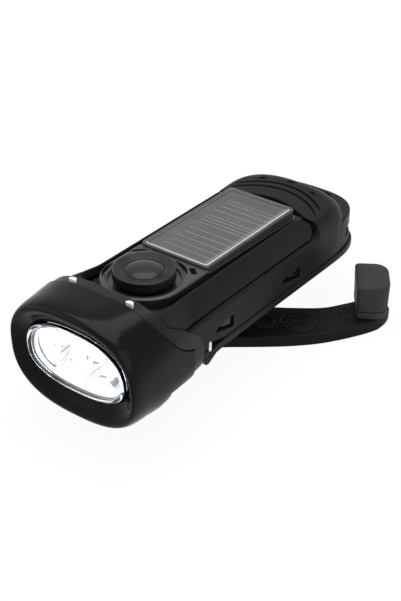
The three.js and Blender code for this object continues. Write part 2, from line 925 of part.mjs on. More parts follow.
function makeSolarFrame() {
  const outline = roundedRect(-moduleHalf, moduleHalf, moduleFront, moduleBack, moduleCorner);
  const block = prism(outline, podBackTop, moduleTop, 6);
  const slope = polygon([[moduleFront - beyond, podStepTop + snug], [moduleFront, podStepTop + snug],
    [podEnd, podBackTop + snug], [podEnd + beyond, podBackTop + snug], [podEnd + beyond, -beyond],
    [moduleFront - beyond, -beyond]]);
  const well = roundedRect(-moduleHalf + moduleBorder, moduleHalf - moduleBorder, moduleFront + moduleBorder,
    moduleBack - moduleBorder, moduleCorner / 2);
  return block
    .subtract(prismAcross(slope, -beyond, beyond))
    .subtract(prism(well, moduleTop - cellSink, moduleTop + wall, 4));
}

const cellLow = moduleTop - cellSink + snug;
const cellHalf = moduleHalf - moduleBorder - snug;
const cellFrom = moduleFront + moduleBorder + snug;
const cellTo = moduleBack - moduleBorder - snug;

function makeSolarCell() {
  const outline = roundedRect(-cellHalf, cellHalf, cellFrom, cellTo, moduleCorner / 2);
  return prism(outline, cellLow, cellLow + cellThick, 4);
}

function makeCellLines() {
  const span = cellTo - cellFrom;
  const pitch = (span * (1 - 2 * lineMarginShare)) / (lineCount - 1);
  const from = -cellHalf + 2 * cellHalf * lineFromShare;
  const low = cellLow + cellThick;
  const first = cellFrom + span * lineMarginShare - lineWide / 2;
  const last = cellTo - span * lineMarginShare + lineWide / 2;
  let comb = box(from, from + lineWide, first, last, low, low + lineThick);
  for (let i = 0; i < lineCount; i += 1) {
    const y = first + i * pitch;
    comb = comb.add(box(from, cellHalf - moduleBorder / 2, y, y + lineWide, low, low + lineThick));
  }
  return comb;
}

function makeButton() {
  const dish = buttonTop - buttonDish;
  const profile = [
    [0, buttonSkirtLow],
    [buttonRadius - fit, buttonSkirtLow],
    [buttonRadius, buttonSkirtLow + fit],
    [buttonRadius, buttonTop - fit],
    [buttonRadius - fit, buttonTop],
  ];
  const grooves = 3;
  const span = buttonRadius - buttonDomeRadius;
  for (let i = 0; i < grooves; i += 1) {
    const r = buttonRadius - (span * (i + 1)) / (grooves + 1);
    const z = buttonTop - (buttonDish * (i + 1)) / (grooves + 1);
    profile.push([r + buttonGrooveDeep, z], [r, z - buttonGrooveDeep], [r - buttonGrooveDeep, z]);
  }
  profile.push([buttonDomeRadius, dish]);
  for (let i = 1; i < 4; i += 1) {
    const share = i / 4;
    const rise = (buttonDomeRise + buttonDish) * (1 - (1 - share) ** 2);
    profile.push([buttonDomeRadius * (1 - share), dish + rise]);
  }
  profile.push([0, dish + buttonDomeRise + buttonDish]);
  const cap = turned(profile, smooth).translate([0, buttonAlong, 0]);
  return cap.add(disc(buttonStem, stemLow, buttonSkirtLow + wall, 0, buttonAlong));
}

const switchLow = boardLow + boardThick + snug;
const switchTop = switchLow + switchHigh;

function makeSwitch() {
  const y = buttonAlong;
  const body = box(-switchHalf, switchHalf, y - switchHalf, y + switchHalf, switchLow, switchTop);
  return body.subtract(disc(plungerRadius + fit, switchTop - plungerWell, switchTop + wall, 0, y, 16));
}

function makePlunger() {
  const low = switchTop - plungerWell + buttonTravel + fit;
  return disc(plungerRadius, low, stemLow - snug, 0, buttonAlong, 16);
}

function makeSpring() {
  return ring(springInner, springHole - fit, deckTop + snug, buttonSkirtLow - snug, 0, buttonAlong);
}

function makeBoard() {
  return box(-boardHalf, boardHalf, boardFront, boardBack, boardLow, boardLow + boardThick);
}

function crown() {
  const shape = new THREE.Shape();
  const edge = bodyHalf + beyond / 2;
  const half = Math.asin(edge / crownRadius);
  shape.absarc(0, -crownRadius, crownRadius, Math.PI / 2 - half, Math.PI / 2 + half, false);
  shape.lineTo(-edge, -2 * beyond);
  shape.lineTo(edge, -2 * beyond);
  const geometry = new THREE.ExtrudeGeometry(shape, {
    depth: 4 * beyond,
    bevelEnabled: false,
    curveSegments: 20,
  });
  geometry.rotateX(Math.PI / 2);
  const slope = Math.atan2(crownBackLevel - crownFrontLevel, crownBackAt - crownFrontAt);
  geometry.translate(0, 2 * beyond, 0);
  geometry.rotateX(slope);
  geometry.translate(0, crownFrontAt, crownFrontLevel);
  return solid(geometry);
}

function crownLevel(y) {
  const share = (y - crownFrontAt) / (crownBackAt - crownFrontAt);
  return crownFrontLevel + share * (crownBackLevel - crownFrontLevel);
}

function arcBand(apex, half, width) {
  const centre = apex - arcRadius;
  const reach = Math.asin(half / arcRadius);
  const shape = new THREE.Shape();
  shape.absarc(0, centre, arcRadius + width / 2, Math.PI / 2 - reach, Math.PI / 2 + reach, false);
  shape.absarc(0, centre, arcRadius - width / 2, Math.PI / 2 + reach, Math.PI / 2 - reach, true);
  return shape;
}

function tailGrooves() {
  return Array.from({ length: arcCount }, (_, i) => {
    const apex = arcFirst + i * arcPitch;
    const middle = crownLevel(apex - wall) - arcDeep - wall;
    return prism(arcBand(apex, arcHalf, arcWide), middle, middle + beyond, 18).subtract(crownCore());
  });
}

function crownCore() {
  return crown().translate([0, 0, -arcDeep]);
}

function dimpleCuts() {
  const spots = [[-dimpleSpread, dimpleSide], [0, dimpleMiddle], [dimpleSpread, dimpleSide]];
  return spots.map(([x, y]) => {
    const geometry = new THREE.CylinderGeometry(1, 1, 2 * dimpleDeep, 16);
    geometry.rotateX(Math.PI / 2);
    geometry.scale(dimpleLong, dimpleWide, 1);
    geometry.rotateZ(-Math.asin(x / arcRadius));
    geometry.translate(x, y, crownLevel(y) - (x * x) / (2 * crownRadius));
    return solid(geometry);
  });
}

function recessCut() {
  const centre = recessApex - recessRadius;
  const reach = Math.asin(recessHalf / recessRadius);
  const shape = new THREE.Shape();
  shape.moveTo(-recessHalf, tailStart - wall);
  shape.lineTo(recessHalf, tailStart - wall);
  shape.absarc(0, centre, recessRadius, Math.PI / 2 - reach, Math.PI / 2 + reach, false);
  return prism(shape, recessFloor, recessFloor + beyond, 16);
}

function windowCut({ from, to }, side) {
  const shape = polygon([
    [from, windowNose],
    [to, windowLow],
    [to, windowTop],
    [from + hookReach, windowNose + hookReach],
  ]);
  const near = innerWallHalf + fit;
  return side > 0 ? prismAcross(shape, near, beyond) : prismAcross(shape, -beyond, -near);
}

// The wedge gap between the bumper's lower edge and the rail near the head.
function wedgeCut() {
  const shape = polygon([
    [wedgeTip, flangeTop],
    [wedgeBend, flangeTop + wedgeHigh / 2],
    [wedgeFront, flangeTop + wedgeHigh],
    [wedgeFront, flangeTop - wedgeDrop],
    [wedgeBend, flangeTop - wedgeDrop / 3],
  ]);
  const right = prismAcross(shape, innerWallHalf + fit, beyond);
  const left = prismAcross(shape, -beyond, -innerWallHalf - fit);
  return right.add(left);
}

function makeBumper() {
  const rings = tailShares.map((share) => tailRing(
    tailLow + share.rise * tailHigh,
    share.half * bodyHalf,
    share.start * tailApex,
    share.apex * tailApex,
    share.power,
    bumperFront,
  ));
  const rise = polygon([
    [-2 * beyond, seamLevel],
    [riseFrom, seamLevel],
    [riseTo - fit, seamLevel + wall / 3],
    [riseTo, seamLevel + wall],
    [riseTo, seamLevel + beyond],
    [-2 * beyond, seamLevel + beyond],
  ]);
  const rail = box(-beyond, beyond, -2 * beyond, flankEnd, 0, seamLevel);
  const block = skin(rings, planView).intersect(crown().add(rail));
  const outer = block.subtract(prismAcross(rise, -beyond, beyond));
  const upper = prism(flankTrim(running), seamLevel - fit, seamLevel + beyond, 8);
  const low = tailLow;
  const front = bumperFront - wall;
  const room = tailBlock(innerWallHalf + fit, tailStart, innerEnd, tailPower, front, low - wall, seamLevel);
  const loft = tailBlock(innerWallHalf - wall, tailStart, innerEnd - wall, tailPower, flankEnd + 2 * wall,
    low - wall, recessFloor - wall);
  const inside = upper.add(room).add(loft).add(recessCut());
  let frame = outer.subtract(inside).subtract(headZone());
  for (const cut of tailGrooves().concat(dimpleCuts())) {
    frame = frame.subtract(cut);
  }
  for (const side of [-1, 1]) {
    for (const window of windows) {
      frame = frame.subtract(windowCut(window, side));
    }
  }
  const whole = frame.subtract(wedgeCut()).add(makeShelf());
  return screwSpots.filter(([, y]) => y > 0).reduce((sum, [x, y]) => sum.subtract(screwHole(x, y)), whole);
}

function lanyardSlot(low, high) {
  return prism(roundedRect(-slotHalf, slotHalf, tailApex + fit, slotBack, slotCorner), low, high, 6);
}

function makeShelf() {
  const low = tailLow;
  const block = (inset, from, to) => tailBlock(shelfHalf - inset, shelfStart, shelfApex - inset, shelfPower,
    shelfStart - wall, from, to);
  const notch = box(-beyond, beyond, notchFront, 3 * beyond, notchLow, notchHigh)
    .subtract(block(notchDeep, notchLow - wall, notchHigh + wall));
  const high = shelfTop + wall;
  const room = tailBlock(innerWallHalf + fit, tailStart, innerEnd, tailPower, bodyFront, low - wall, high);
  return block(0, low, shelfTop).subtract(notch).subtract(room).subtract(lanyardSlot(low - wall, high));
}

function makeHooks() {
  const hooks = [];
  for (const side of [-1, 1]) {
    for (const { to } of windows) {
      const back = to - 2 * fit;
      const mid = (windowLow + windowTop) / 2;
      const shape = polygon([[back - hookLong, mid], [back, mid - hookHigh / 2], [back, mid + hookHigh / 2],
        [back - hookLong / 2, mid + hookHigh / 2]]);
      const near = innerWallHalf + snug;
      const from = side > 0 ? near : -near - hookReach;
      hooks.push(prismAcross(shape, from, from + hookReach));
    }
  }
  return hooks;
}

function makeBottom() {
  const plate = tailBlock(flangeHalf, flangeStart, flangeApex, flangePower, bodyFront, floorLow, flangeTop);
  const low = floorLow + floorThick;
  const wellHalf = innerWallHalf - innerWallThick;
  const back = bodyFront + wall;
  const well = tailBlock(wellHalf, tailStart, innerEnd - wall, tailPower, back, low, seamLevel + wall);
  const rim = tailBlock(innerWallHalf, tailStart, innerEnd - fit, tailPower, bodyFront, low - wall,
    seamLevel - 2 * fit);
  const boss = cone(bossFoot, bossRoot, bossLow, floorLow + wall / 2, 0, pivotAlong, smooth);
  const bossFloor = bossLow + 2 * bossWall;
  const hollow = cone(bossFoot - bossWall, bossRoot - bossWall, bossFloor, low + wall, 0, pivotAlong, smooth);
  const bore = disc(shaftRadius + bearing, bossLow - wall, low + wall, 0, pivotAlong);
  const tongueTop = tongueLow + tongueThick;
  const riser = box(-tongueHalf, tongueHalf, bodyFront, back, low - wall / 2, tongueTop);
  const tongue = box(-tongueHalf, tongueHalf, tongueFront, back, tongueLow, tongueTop);
  const doorway = box(-bridgeHalf, bridgeHalf, bodyFront - wall, back + wall, bridgeLow, seamLevel + wall);
  let shell = plate.add(rim).subtract(well).subtract(doorway).add(boss).subtract(hollow).subtract(bore);
  shell = shell.subtract(frontClearance()).add(riser.subtract(collarZone())).add(tongue).add(rails());
  for (const [x, y] of screwSpots) {
    shell = shell
      .subtract(disc(screwHead + fit, floorLow - wall, floorLow + screwSink + screwHeadHigh + snug, x, y, 16))
      .subtract(disc(screwShank + snug, floorLow - wall, low + wall, x, y, 12));
  }
  for (const [at, high, play] of [[idlerAt, gearLow - fit, snug], [rotorAt, gearTwoLow - fit, bearing]]) {
    const seat = disc(bearingRadius, low - wall / 2, high, at[0], at[1], 16);
    shell = shell.add(seat).subtract(disc(axleRadius + play, low, high + wall, at[0], at[1], 16));
  }
  return shell.subtract(wedgeCut()).subtract(lanyardSlot(floorLow - wall, flangeTop + wall));
}

function frontClearance() {
  const high = tongueLow - fit;
  return box(-beyond, beyond, bodyFront - beyond, bodyFront + fit, 0, high).add(collarZone());
}

// The rails drop a little below the flange near the head.
function rails() {
  const start = wedgeTip;
  const end = railEnd;
  const shape = polygon([
    [start, floorLow + snug],
    [railKnee, floorLow - fit],
    [railNose, railLow],
    [end, railLow],
    [end - railLead, floorLow + snug],
  ]);
  const right = prismAcross(shape, flangeHalf - sideThick, flangeHalf);
  const left = prismAcross(shape, -flangeHalf, sideThick - flangeHalf);
  return right.add(left);
}

function makeScrews() {
  return screwSpots.map(([x, y]) => {
    const low = floorLow + screwSink;
    const head = disc(screwHead, low, low + screwHeadHigh, x, y, 16);
    const cross = crossCut(x, y, low, screwHead);
    return head.add(disc(screwShank, low, low + screwLong, x, y, 12)).subtract(cross);
  });
}

function crossCut(x, y, low, radius) {
  const long = radius * crossLongShare;
  const slim = radius * crossSlimShare;
  const deep = radius * crossDeepShare;
  return box(x - long, x + long, y - slim, y + slim, low - wall, low + deep)
    .add(box(x - slim, x + slim, y - long, y + long, low - wall, low + deep));
}

function gearOutline(teeth, phase) {
  const pitch = (teeth * toothModule) / 2;
  const tip = pitch + toothTipShare * toothModule;
  const root = pitch - toothRootShare * toothModule;
  const step = (2 * Math.PI) / teeth;
  const points = [];
  for (let i = 0; i < teeth; i += 1) {
    const centre = phase + i * step;
    const corners = [
      [root, -rootWideShare],
      [tip, -tipWideShare],
      [tip, tipWideShare],
      [root, rootWideShare],
    ];
    for (const [radius, share] of corners) {
      const angle = centre + share * step;
      points.push([radius * Math.cos(angle), radius * Math.sin(angle)]);
    }
  }
  return polygon(points);
}

const crankToIdler = ((crankTeeth + pinionTeeth) * toothModule) / 2;
const idlerToRotor = ((idlerTeeth + rotorTeeth) * toothModule) / 2;
const idlerAt = [crankToIdler * idlerShiftShare,
  pivotAlong + crankToIdler * Math.sqrt(1 - idlerShiftShare ** 2)];
const rotorAt = [idlerAt[0] + idlerToRotor * rotorShiftShare,
  idlerAt[1] + idlerToRotor * Math.sqrt(1 - rotorShiftShare ** 2)];
const crankHeading = Math.atan2(idlerAt[1] - pivotAlong, idlerAt[0]);
const idlerHeading = Math.atan2(rotorAt[1] - idlerAt[1], rotorAt[0] - idlerAt[0]);
const gearTwoLow = gearLow + gearThick + gearStep;

function makeCrankGear() {
  const gear = prism(gearOutline(crankTeeth, crankHeading), gearLow, gearLow + gearThick);
  const hub = disc(shaftRadius + wall, gearLow, gearLow + gearThick + gearStep, 0, 0);
  const bore = disc(shaftRadius + snug, gearLow - wall, gearTwoLow + wall, 0, 0);
  return gear.add(hub).subtract(bore).translate([0, pivotAlong, 0]);
}

function makeIdler() {
  const phase = crankHeading + Math.PI + Math.PI / pinionTeeth;
  const pinion = prism(gearOutline(pinionTeeth, phase), gearLow, gearTwoLow + snug);
  const gear = prism(gearOutline(idlerTeeth, idlerHeading), gearTwoLow, gearTwoLow + gearThick - fit);
  const bore = disc(axleRadius + bearing, gearLow - wall, gearTwoLow + gearThick, 0, 0, 16);
  return pinion.add(gear).subtract(bore).translate([idlerAt[0], idlerAt[1], 0]);
}

function makeRotorPinion() {
  const phase = idlerHeading + Math.PI + Math.PI / rotorTeeth;
  const pinion = prism(gearOutline(rotorTeeth, phase), gearTwoLow, rotorLow - snug);
  return pinion.subtract(disc(axleRadius + snug, 0, beyond, 0, 0, 16)).translate([rotorAt[0], rotorAt[1], 0]);
}

function makeRotor() {
  const [x, y] = rotorAt;
  const magnet = disc(rotorRadius, rotorLow, rotorLow + rotorHigh, x, y, smooth);
  return magnet.subtract(disc(axleRadius + snug, 0, beyond + rotorLow, x, y, 16));
}

function ring(inner, outer, low, high, x, y) {
  return disc(outer, low, high, x, y, smooth).subtract(disc(inner, low - wall, high + wall, x, y, smooth));
}

const coilInner = rotorRadius + running;
const statorInner = coilInner + coilThick + snug;
const statorOuter = statorInner + statorThick;

function makeAxle([x, y], high) {
  return disc(axleRadius, floorLow + floorThick + snug, high, x, y, 16);
}

function makeCoil() {
  return ring(coilInner, coilInner + coilThick, rotorLow, rotorLow + rotorHigh, rotorAt[0], rotorAt[1]);
}

function makeStator() {
  return ring(statorInner, statorOuter, rotorLow - snug, rotorLow + rotorHigh, rotorAt[0], rotorAt[1]);
}

function makePlate() {
  const high = plateLow + plateThick;
  let plate = prism(roundedRect(-plateHalf, plateHalf, plateFront, plateMiddle, wall), plateLow, high, 4);
  const tab = roundedRect(-plateHalf, plateTab, plateFront + wall, plateBack, wall);
  plate = plate.add(prism(tab, plateLow, high, 4));
  plate = plate.subtract(disc(statorOuter + snug, 0, beyond, rotorAt[0], rotorAt[1], smooth));
  plate = plate.subtract(disc(shaftRadius + bearing, 0, beyond, 0, pivotAlong));
  plate = plate.subtract(disc(axleRadius + snug, 0, beyond, idlerAt[0], idlerAt[1], 16));
  for (const [x, y] of [[-pillarHalf, pillarFront], [pillarHalf, pillarFront], [pillarHalf, pillarBack]]) {
    plate = plate.add(disc(pillarRadius, floorLow + floorThick + snug, plateLow + plateThick / 2, x, y, 12));
  }
  return plate;
}

function inArmFrame(geometrySolid) {
  return geometrySolid.rotate([0, 0, armTurn]).translate([0, pivotAlong, 0]);
}

function inKnobFrame(geometrySolid) {
  return inArmFrame(geometrySolid.rotate([0, 0, knobTurn]).translate([knobShift, knobReach, 0]));
}

function armPlan() {
  const points = [];
  for (let i = 0; i <= hubSteps; i += 1) {
    const angle = Math.PI * (1 + i / hubSteps);
    points.push([hubRadius * Math.cos(angle), hubRadius * Math.sin(angle)]);
  }
  const outline = armSideShares.map(([across, along]) => [across * hubRadius, along * knobReach]);
  const sides = [[hubRadius, 0]].concat(outline, [[-hubRadius, 0]]);
  const curve = new THREE.SplineCurve(sides.map(([x, y]) => new THREE.Vector2(x, y)));
  const along = curve.getPoints(armSteps).slice(1, -1);
  return polygon(points.concat(along.map((p) => [p.x, p.y])));
}

function makeArm() {
  let arm = prism(armPlan(), 0, armThick);
  for (const { across, along, radius } of [bigMark, hubMark, nearMark, farMark]) {
    arm = arm.add(ring(radius - ringWide, radius, armThick - ringHigh, armThick + ringHigh, across, along));
  }
  const tip = knobReach + hubRadius - snug;
  const relief = polygon([
    [tip - tipLong, -snug],
    [tip, tipRise],
    [tip + beyond, tipRise],
    [tip + beyond, -beyond],
    [tip - tipLong, -beyond],
  ]);
  arm = arm.subtract(prismAcross(relief, -beyond, beyond));
  arm = arm.subtract(disc(shaftRadius + snug, shaftLow - snug, beyond, 0, 0));
  arm = arm.subtract(disc(armScrewHead + fit, -beyond, shaftLow - snug, 0, 0));
  arm = arm.subtract(disc(pinRadius + snug, -beyond, beyond, knobShift, knobReach, 16));
  arm = arm.subtract(disc(pinHead + fit, -beyond, tipRise + snug, knobShift, knobReach, 16));
  return inArmFrame(arm);
}

function knobRing(level, grow) {
  const points = [];
  const half = knobHalf + grow;
  const flat = knobFlat + grow;
  const corners = [
    [-1, -1, knobCorner, 3],
    [1, -1, knobCorner, 3],
    [1, 1, knobBulge, 6],
    [-1, 1, knobBulge, 6],
  ];
  corners.forEach(([sx, sy, radius, steps], quarter) => {
    for (let i = 0; i <= steps; i += 1) {
      const angle = Math.PI + (quarter + i / steps) * (Math.PI / 2);
      const x = sx * (half - radius) + radius * Math.cos(angle);
      points.push(new THREE.Vector3(x, sy * (flat - radius) + radius * Math.sin(angle), level));
    }
  });
  return points;
}

function makeKnob() {
  const form = skin([
    knobRing(knobLow, -knobTuck),
    knobRing(knobTop - 2 * knobRound, 0),
    knobRing(knobTop - knobRound / 2, -knobRound),
    knobRing(knobTop, -knobCrown),
  ], planView);
  return inKnobFrame(form.subtract(disc(pinRadius + bearing, 0, pinTop + fit, 0, 0, 16)));
}

function makeFoot() {
  const form = skin([knobRing(armThick + snug, -knobTuck), knobRing(footTop, -knobTuck)], planView);
  return inKnobFrame(form.subtract(disc(pinRadius + snug, 0, footTop + wall, 0, 0, 16)));
}

function makePin() {
  const low = tipRise - pinHeadHigh;
  const pin = disc(pinRadius, low, pinTop, 0, 0, 16).add(disc(pinHead, low, tipRise, 0, 0, 16));
  return inArmFrame(pin.translate([knobShift, knobReach, 0]));
}

function makeShaft() {
  return disc(shaftRadius, shaftLow, plateLow + plateThick + snug, 0, pivotAlong);
}

function makeArmScrew() {
  const high = shaftLow - 2 * snug;
  const head = disc(armScrewHead, high - armScrewHigh, high, 0, 0);
  return head.subtract(crossCut(0, 0, high - armScrewHigh, armScrewHead)).translate([0, pivotAlong, 0]);
}

function makeCells() {
  return [-1, 0, 1].map((side) => {
    const geometry = new THREE.CylinderGeometry(cellRadius, cellRadius, cellLong, coarse);
    const level = floorLow + floorThick + snug + cellRadius;
    geometry.translate(cellAcross, cellAlong + side * (cellLong + fit), level);
    return solid(geometry);
  });
}

function makeLugs() {
  const lugs = [];
  for (const side of [-1, 1]) {
    const x = side * lugSpread;
    const y = lugAlong;
    const rearHalf = box(-beyond, beyond, y, y + beyond, 0, 2 * beyond);
    lugs.push(disc(lugRadius, lugLow, lugHigh, x, y, 16).intersect(rearHalf));
  }
  for (const side of [-1, 1]) {
    const near = innerWallHalf + fit + snug;
    const x = side > 0 ? near : -near - sideLug.wide;
    const y = wedgeFront + snug;
    const low = flangeTop - sideLug.low;
    lugs.push(box(x, x + sideLug.wide, y, y + sideLug.long, low, flangeTop + sideLug.high));
  }
  return lugs;
}

const inner = new THREE.Group();

function addEach(names, solids, color, roughness, metalness) {
  solids.forEach((item, i) => add(names[i], item, color, roughness, metalness));
}

function add(name, item, color, roughness, metalness) {
  const mesh = item.getMesh();
  const geometry = new THREE.BufferGeometry();
  geometry.setAttribute("position", new THREE.BufferAttribute(new Float32Array(mesh.vertProperties), 3));
  geometry.setIndex(new THREE.BufferAttribute(new Uint32Array(mesh.triVerts), 1));
  const part = new THREE.Mesh(geometry, new THREE.MeshStandardMaterial({ color, roughness, metalness }));
  part.name = name;
  inner.add(part);
}

const glossBlack = 0x15151a;
const satinBlack = 0x2a2a2d;
const podBlack = 0x38383b;
const knobGrey = 0x414142;

add("head_bezel", makeBezel(), glossBlack, 0.2, 0);
add("head_collar", makeCollar(), satinBlack, 0.4, 0);
addEach(["snap_lug_left", "snap_lug_right", "side_lug_left", "side_lug_right"], makeLugs(), 0xf2f2f2, 0.5, 0);
add("lens", makeLens(), 0xe8f0f6, 0.05, 0);
add("lens_seal", makeSeal(), 0x161616, 0.8, 0);
add("reflector", makeReflector(), 0xd9dde2, 0.1, 1);
addEach(["lamp_left", "lamp_middle", "lamp_right"], makeLamps(), 0xfafcff, 0.2, 0);
add("lamp_board", makeLampBoard(), 0x1f5a33, 0.6, 0);
add("upper_housing", makeHousing(), satinBlack, 0.42, 0);
add("pod_cover", makePod(), podBlack, 0.4, 0);
add("bumper_frame", makeBumper(), satinBlack, 0.5, 0);
const hookNames = ["hook_left_front", "hook_left_rear", "hook_right_front", "hook_right_rear"];
addEach(hookNames, makeHooks(), glossBlack, 0.2, 0);
add("bottom_shell", makeBottom(), satinBlack, 0.5, 0);
addEach(["screw_1", "screw_2", "screw_3", "screw_4"], makeScrews(), 0x8a8c90, 0.35, 1);
add("solar_frame", makeSolarFrame(), 0x3a3a3f, 0.2, 0);
add("solar_cell", makeSolarCell(), 0x6d6a76, 0.3, 0.2);
add("cell_lines", makeCellLines(), 0xc9ccd2, 0.3, 0.9);
add("charge_window", diamond(chargeSide, podTop - chargeDeep, podTop - 2 * snug), 0x0b0b0d, 0.1, 0);
add("button_cap", makeButton(), 0x1c1c1f, 0.35, 0);
add("button_spring", makeSpring(), 0xb9bcc0, 0.3, 1);
add("switch_body", makeSwitch(), 0x222222, 0.6, 0);
add("switch_plunger", makePlunger(), 0xb8b4aa, 0.5, 0);
add("circuit_board", makeBoard(), 0x1f5a33, 0.6, 0);
addEach(["battery_front", "battery_middle", "battery_rear"], makeCells(), 0xb0b4b8, 0.35, 0.9);
add("gear_plate", makePlate(), 0xd8d4c8, 0.6, 0);
add("crank_gear", makeCrankGear(), 0xe6e2d6, 0.5, 0);
add("idler_axle", makeAxle(idlerAt, plateLow + plateThick), 0xa0a4a8, 0.3, 1);
add("idler_gear", makeIdler(), 0xe6e2d6, 0.5, 0);
add("rotor_pinion", makeRotorPinion(), 0xc9a55a, 0.35, 1);
add("rotor_shaft", makeAxle(rotorAt, rotorLow + rotorHigh + fit), 0xa0a4a8, 0.3, 1);
add("rotor_magnet", makeRotor(), 0x3a3a3c, 0.5, 0.6);
add("generator_coil", makeCoil(), 0xb5652a, 0.4, 0.8);
add("generator_stator", makeStator(), 0x8c8f94, 0.45, 0.9);
add("crank_shaft", makeShaft(), 0xa0a4a8, 0.3, 1);
add("crank_arm", makeArm(), 0x26282a, 0.5, 0);
add("arm_screw", makeArmScrew(), 0x8a8c90, 0.35, 1);
add("knob_foot", makeFoot(), knobGrey, 0.6, 0);
add("knob_pin", makePin(), 0xa0a4a8, 0.3, 1);
add("knob", makeKnob(), knobGrey, 0.6, 0);

// The frame's origin is the middle of the bounding box, on the surface that the arm rests on.
const middle = new THREE.Box3().setFromObject(inner).getCenter(new THREE.Vector3());
inner.position.set(-middle.x, -middle.y, 0);
const group = new THREE.Group();
group.add(inner);

export default group;
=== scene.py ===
"""Looks of a hand crank flashlight with a solar module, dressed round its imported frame.

Shapes are written in the maker's drawing, in millimetres: +Y runs to the tail, the lens looks along -Y,
and the crank turns about the line x = 0, y = 28. Every mesh is moved into the frame's metres as it is made.
"""

import json
import logging
import math
from collections.abc import Callable, Sequence
from dataclasses import dataclass, replace
from enum import Enum

import bmesh
import bpy
from mathutils import Matrix, Vector


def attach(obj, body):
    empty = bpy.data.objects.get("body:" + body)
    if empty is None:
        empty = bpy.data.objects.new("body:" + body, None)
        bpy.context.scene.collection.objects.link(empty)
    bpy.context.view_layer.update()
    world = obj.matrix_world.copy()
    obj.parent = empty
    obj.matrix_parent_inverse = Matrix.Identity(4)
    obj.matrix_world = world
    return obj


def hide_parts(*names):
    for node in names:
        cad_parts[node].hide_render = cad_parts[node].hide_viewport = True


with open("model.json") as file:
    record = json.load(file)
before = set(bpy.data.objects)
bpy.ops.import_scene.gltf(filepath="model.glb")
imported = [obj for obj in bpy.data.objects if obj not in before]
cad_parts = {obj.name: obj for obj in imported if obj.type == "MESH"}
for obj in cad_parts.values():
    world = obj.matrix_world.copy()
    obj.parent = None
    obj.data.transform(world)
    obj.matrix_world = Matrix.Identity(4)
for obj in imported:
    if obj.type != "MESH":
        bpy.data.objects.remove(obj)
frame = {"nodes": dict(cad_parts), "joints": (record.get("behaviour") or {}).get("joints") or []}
log = logging.getLogger("flashlight")

Piece = bpy.types.Object
Socket = bpy.types.NodeSocket
Material = bpy.types.Material
Spot = tuple[float, float]
Triple = tuple[float, float, float]
Quad = tuple[float, float, float, float]
Colour = Triple
Outline = list[Spot]
Ring = list[Vector]

# How far cutting solids reach past the body, and how far they stand out past a face that they open.
FAR = 60.0
CLEAR = 40.0
OVER = 1.8
# Play between two fixed parts.
FIT = 0.25
# How deep raised marks and joined solids are sunk into the solid that carries them.
SUNK = 0.3
# Stops on a small rounded edge, and the middle of the drawing in plan.
QUARTER_TURN = tuple(math.radians(a) for a in (0, 22.5, 45, 67.5, 90))
MIDDLE = (0.0, 0.0)


class Axis(Enum):
    """Direction in which an outline is drawn out into a prism."""

    UP = "up"
    ACROSS = "across"


class Cut(Enum):
    """How one solid is worked with another."""

    TAKE = "DIFFERENCE"
    JOIN = "UNION"
    KEEP = "INTERSECT"


# Drawing


@dataclass(frozen=True)
class Drawing:
    """The drawing's place in the frame, found from the crank's hinge."""

    pivot_along: float = 28.0
    unit: float = 0.001

    def origin(self) -> Vector:
        """Gives the drawing's origin in the frame, in metres.

        Returns:
            The place, in metres.
        """
        hinge = next(joint for joint in frame["joints"] if joint["name"] == "crank_turn")
        place = Vector(hinge["pos_m"])
        return Vector((place.x, place.y - self.pivot_along * self.unit, 0.0))

    def into_frame(self, point: Vector) -> Vector:
        """Turns one drawing point into frame metres."""
        return Vector(point) * self.unit + self.origin()


DRAWING = Drawing()


# Outlines


def rounded_rect(x0: float, x1: float, y0: float, y1: float, radius: float, steps: int = 8) -> Outline:
    """Draws a rectangle with rounded corners.

    Args:
        x0: Left side.
        x1: Right side.
        y0: Near side.
        y1: Far side.
        radius: Corner radius.
        steps: Points on each corner.

    Returns:
        The outline, anticlockwise.
    """
    centres = [(x1 - radius, y0 + radius, -90), (x1 - radius, y1 - radius, 0),
               (x0 + radius, y1 - radius, 90), (x0 + radius, y0 + radius, 180)]
    points = []
    for cx, cy, start in centres:
        for i in range(steps + 1):
            angle = math.radians(start + 90 * i / steps)
            points.append((cx + radius * math.cos(angle), cy + radius * math.sin(angle)))
    return points


def arc(cx: float, cy: float, radius: float, start: float, end: float, steps: int) -> Outline:
    """Draws an arc of a circle."""
    spread = [math.radians(start + (end - start) * i / steps) for i in range(steps + 1)]
    return [(cx + radius * math.cos(a), cy + radius * math.sin(a)) for a in spread]


def fillet(points: Sequence[Spot], radii: Sequence[float], steps: int = 6) -> Outline:
    """Rounds the inner corners of an open line of points.

    Args:
        points: The line.
        radii: How far from each corner its rounding starts.
        steps: Stretches on each rounding.

    Returns:
        The rounded line, always with the same number of points for the same input count.
    """
    result = [points[0]]
    for i in range(1, len(points) - 1):
        before, corner, after = Vector(points[i - 1]), Vector(points[i]), Vector(points[i + 1])
        back, ahead = before - corner, after - corner
        reach_back = min(radii[i], back.length * 0.45)
        reach_ahead = min(radii[i], ahead.length * 0.45)
        start = corner + back.normalized() * reach_back
        end = corner + ahead.normalized() * reach_ahead
        for k in range(steps + 1):
            t = k / steps
            spot = start * (1 - t) ** 2 + corner * 2 * t * (1 - t) + end * t ** 2
            result.append((spot.x, spot.y))
    result.append(points[-1])
    return result


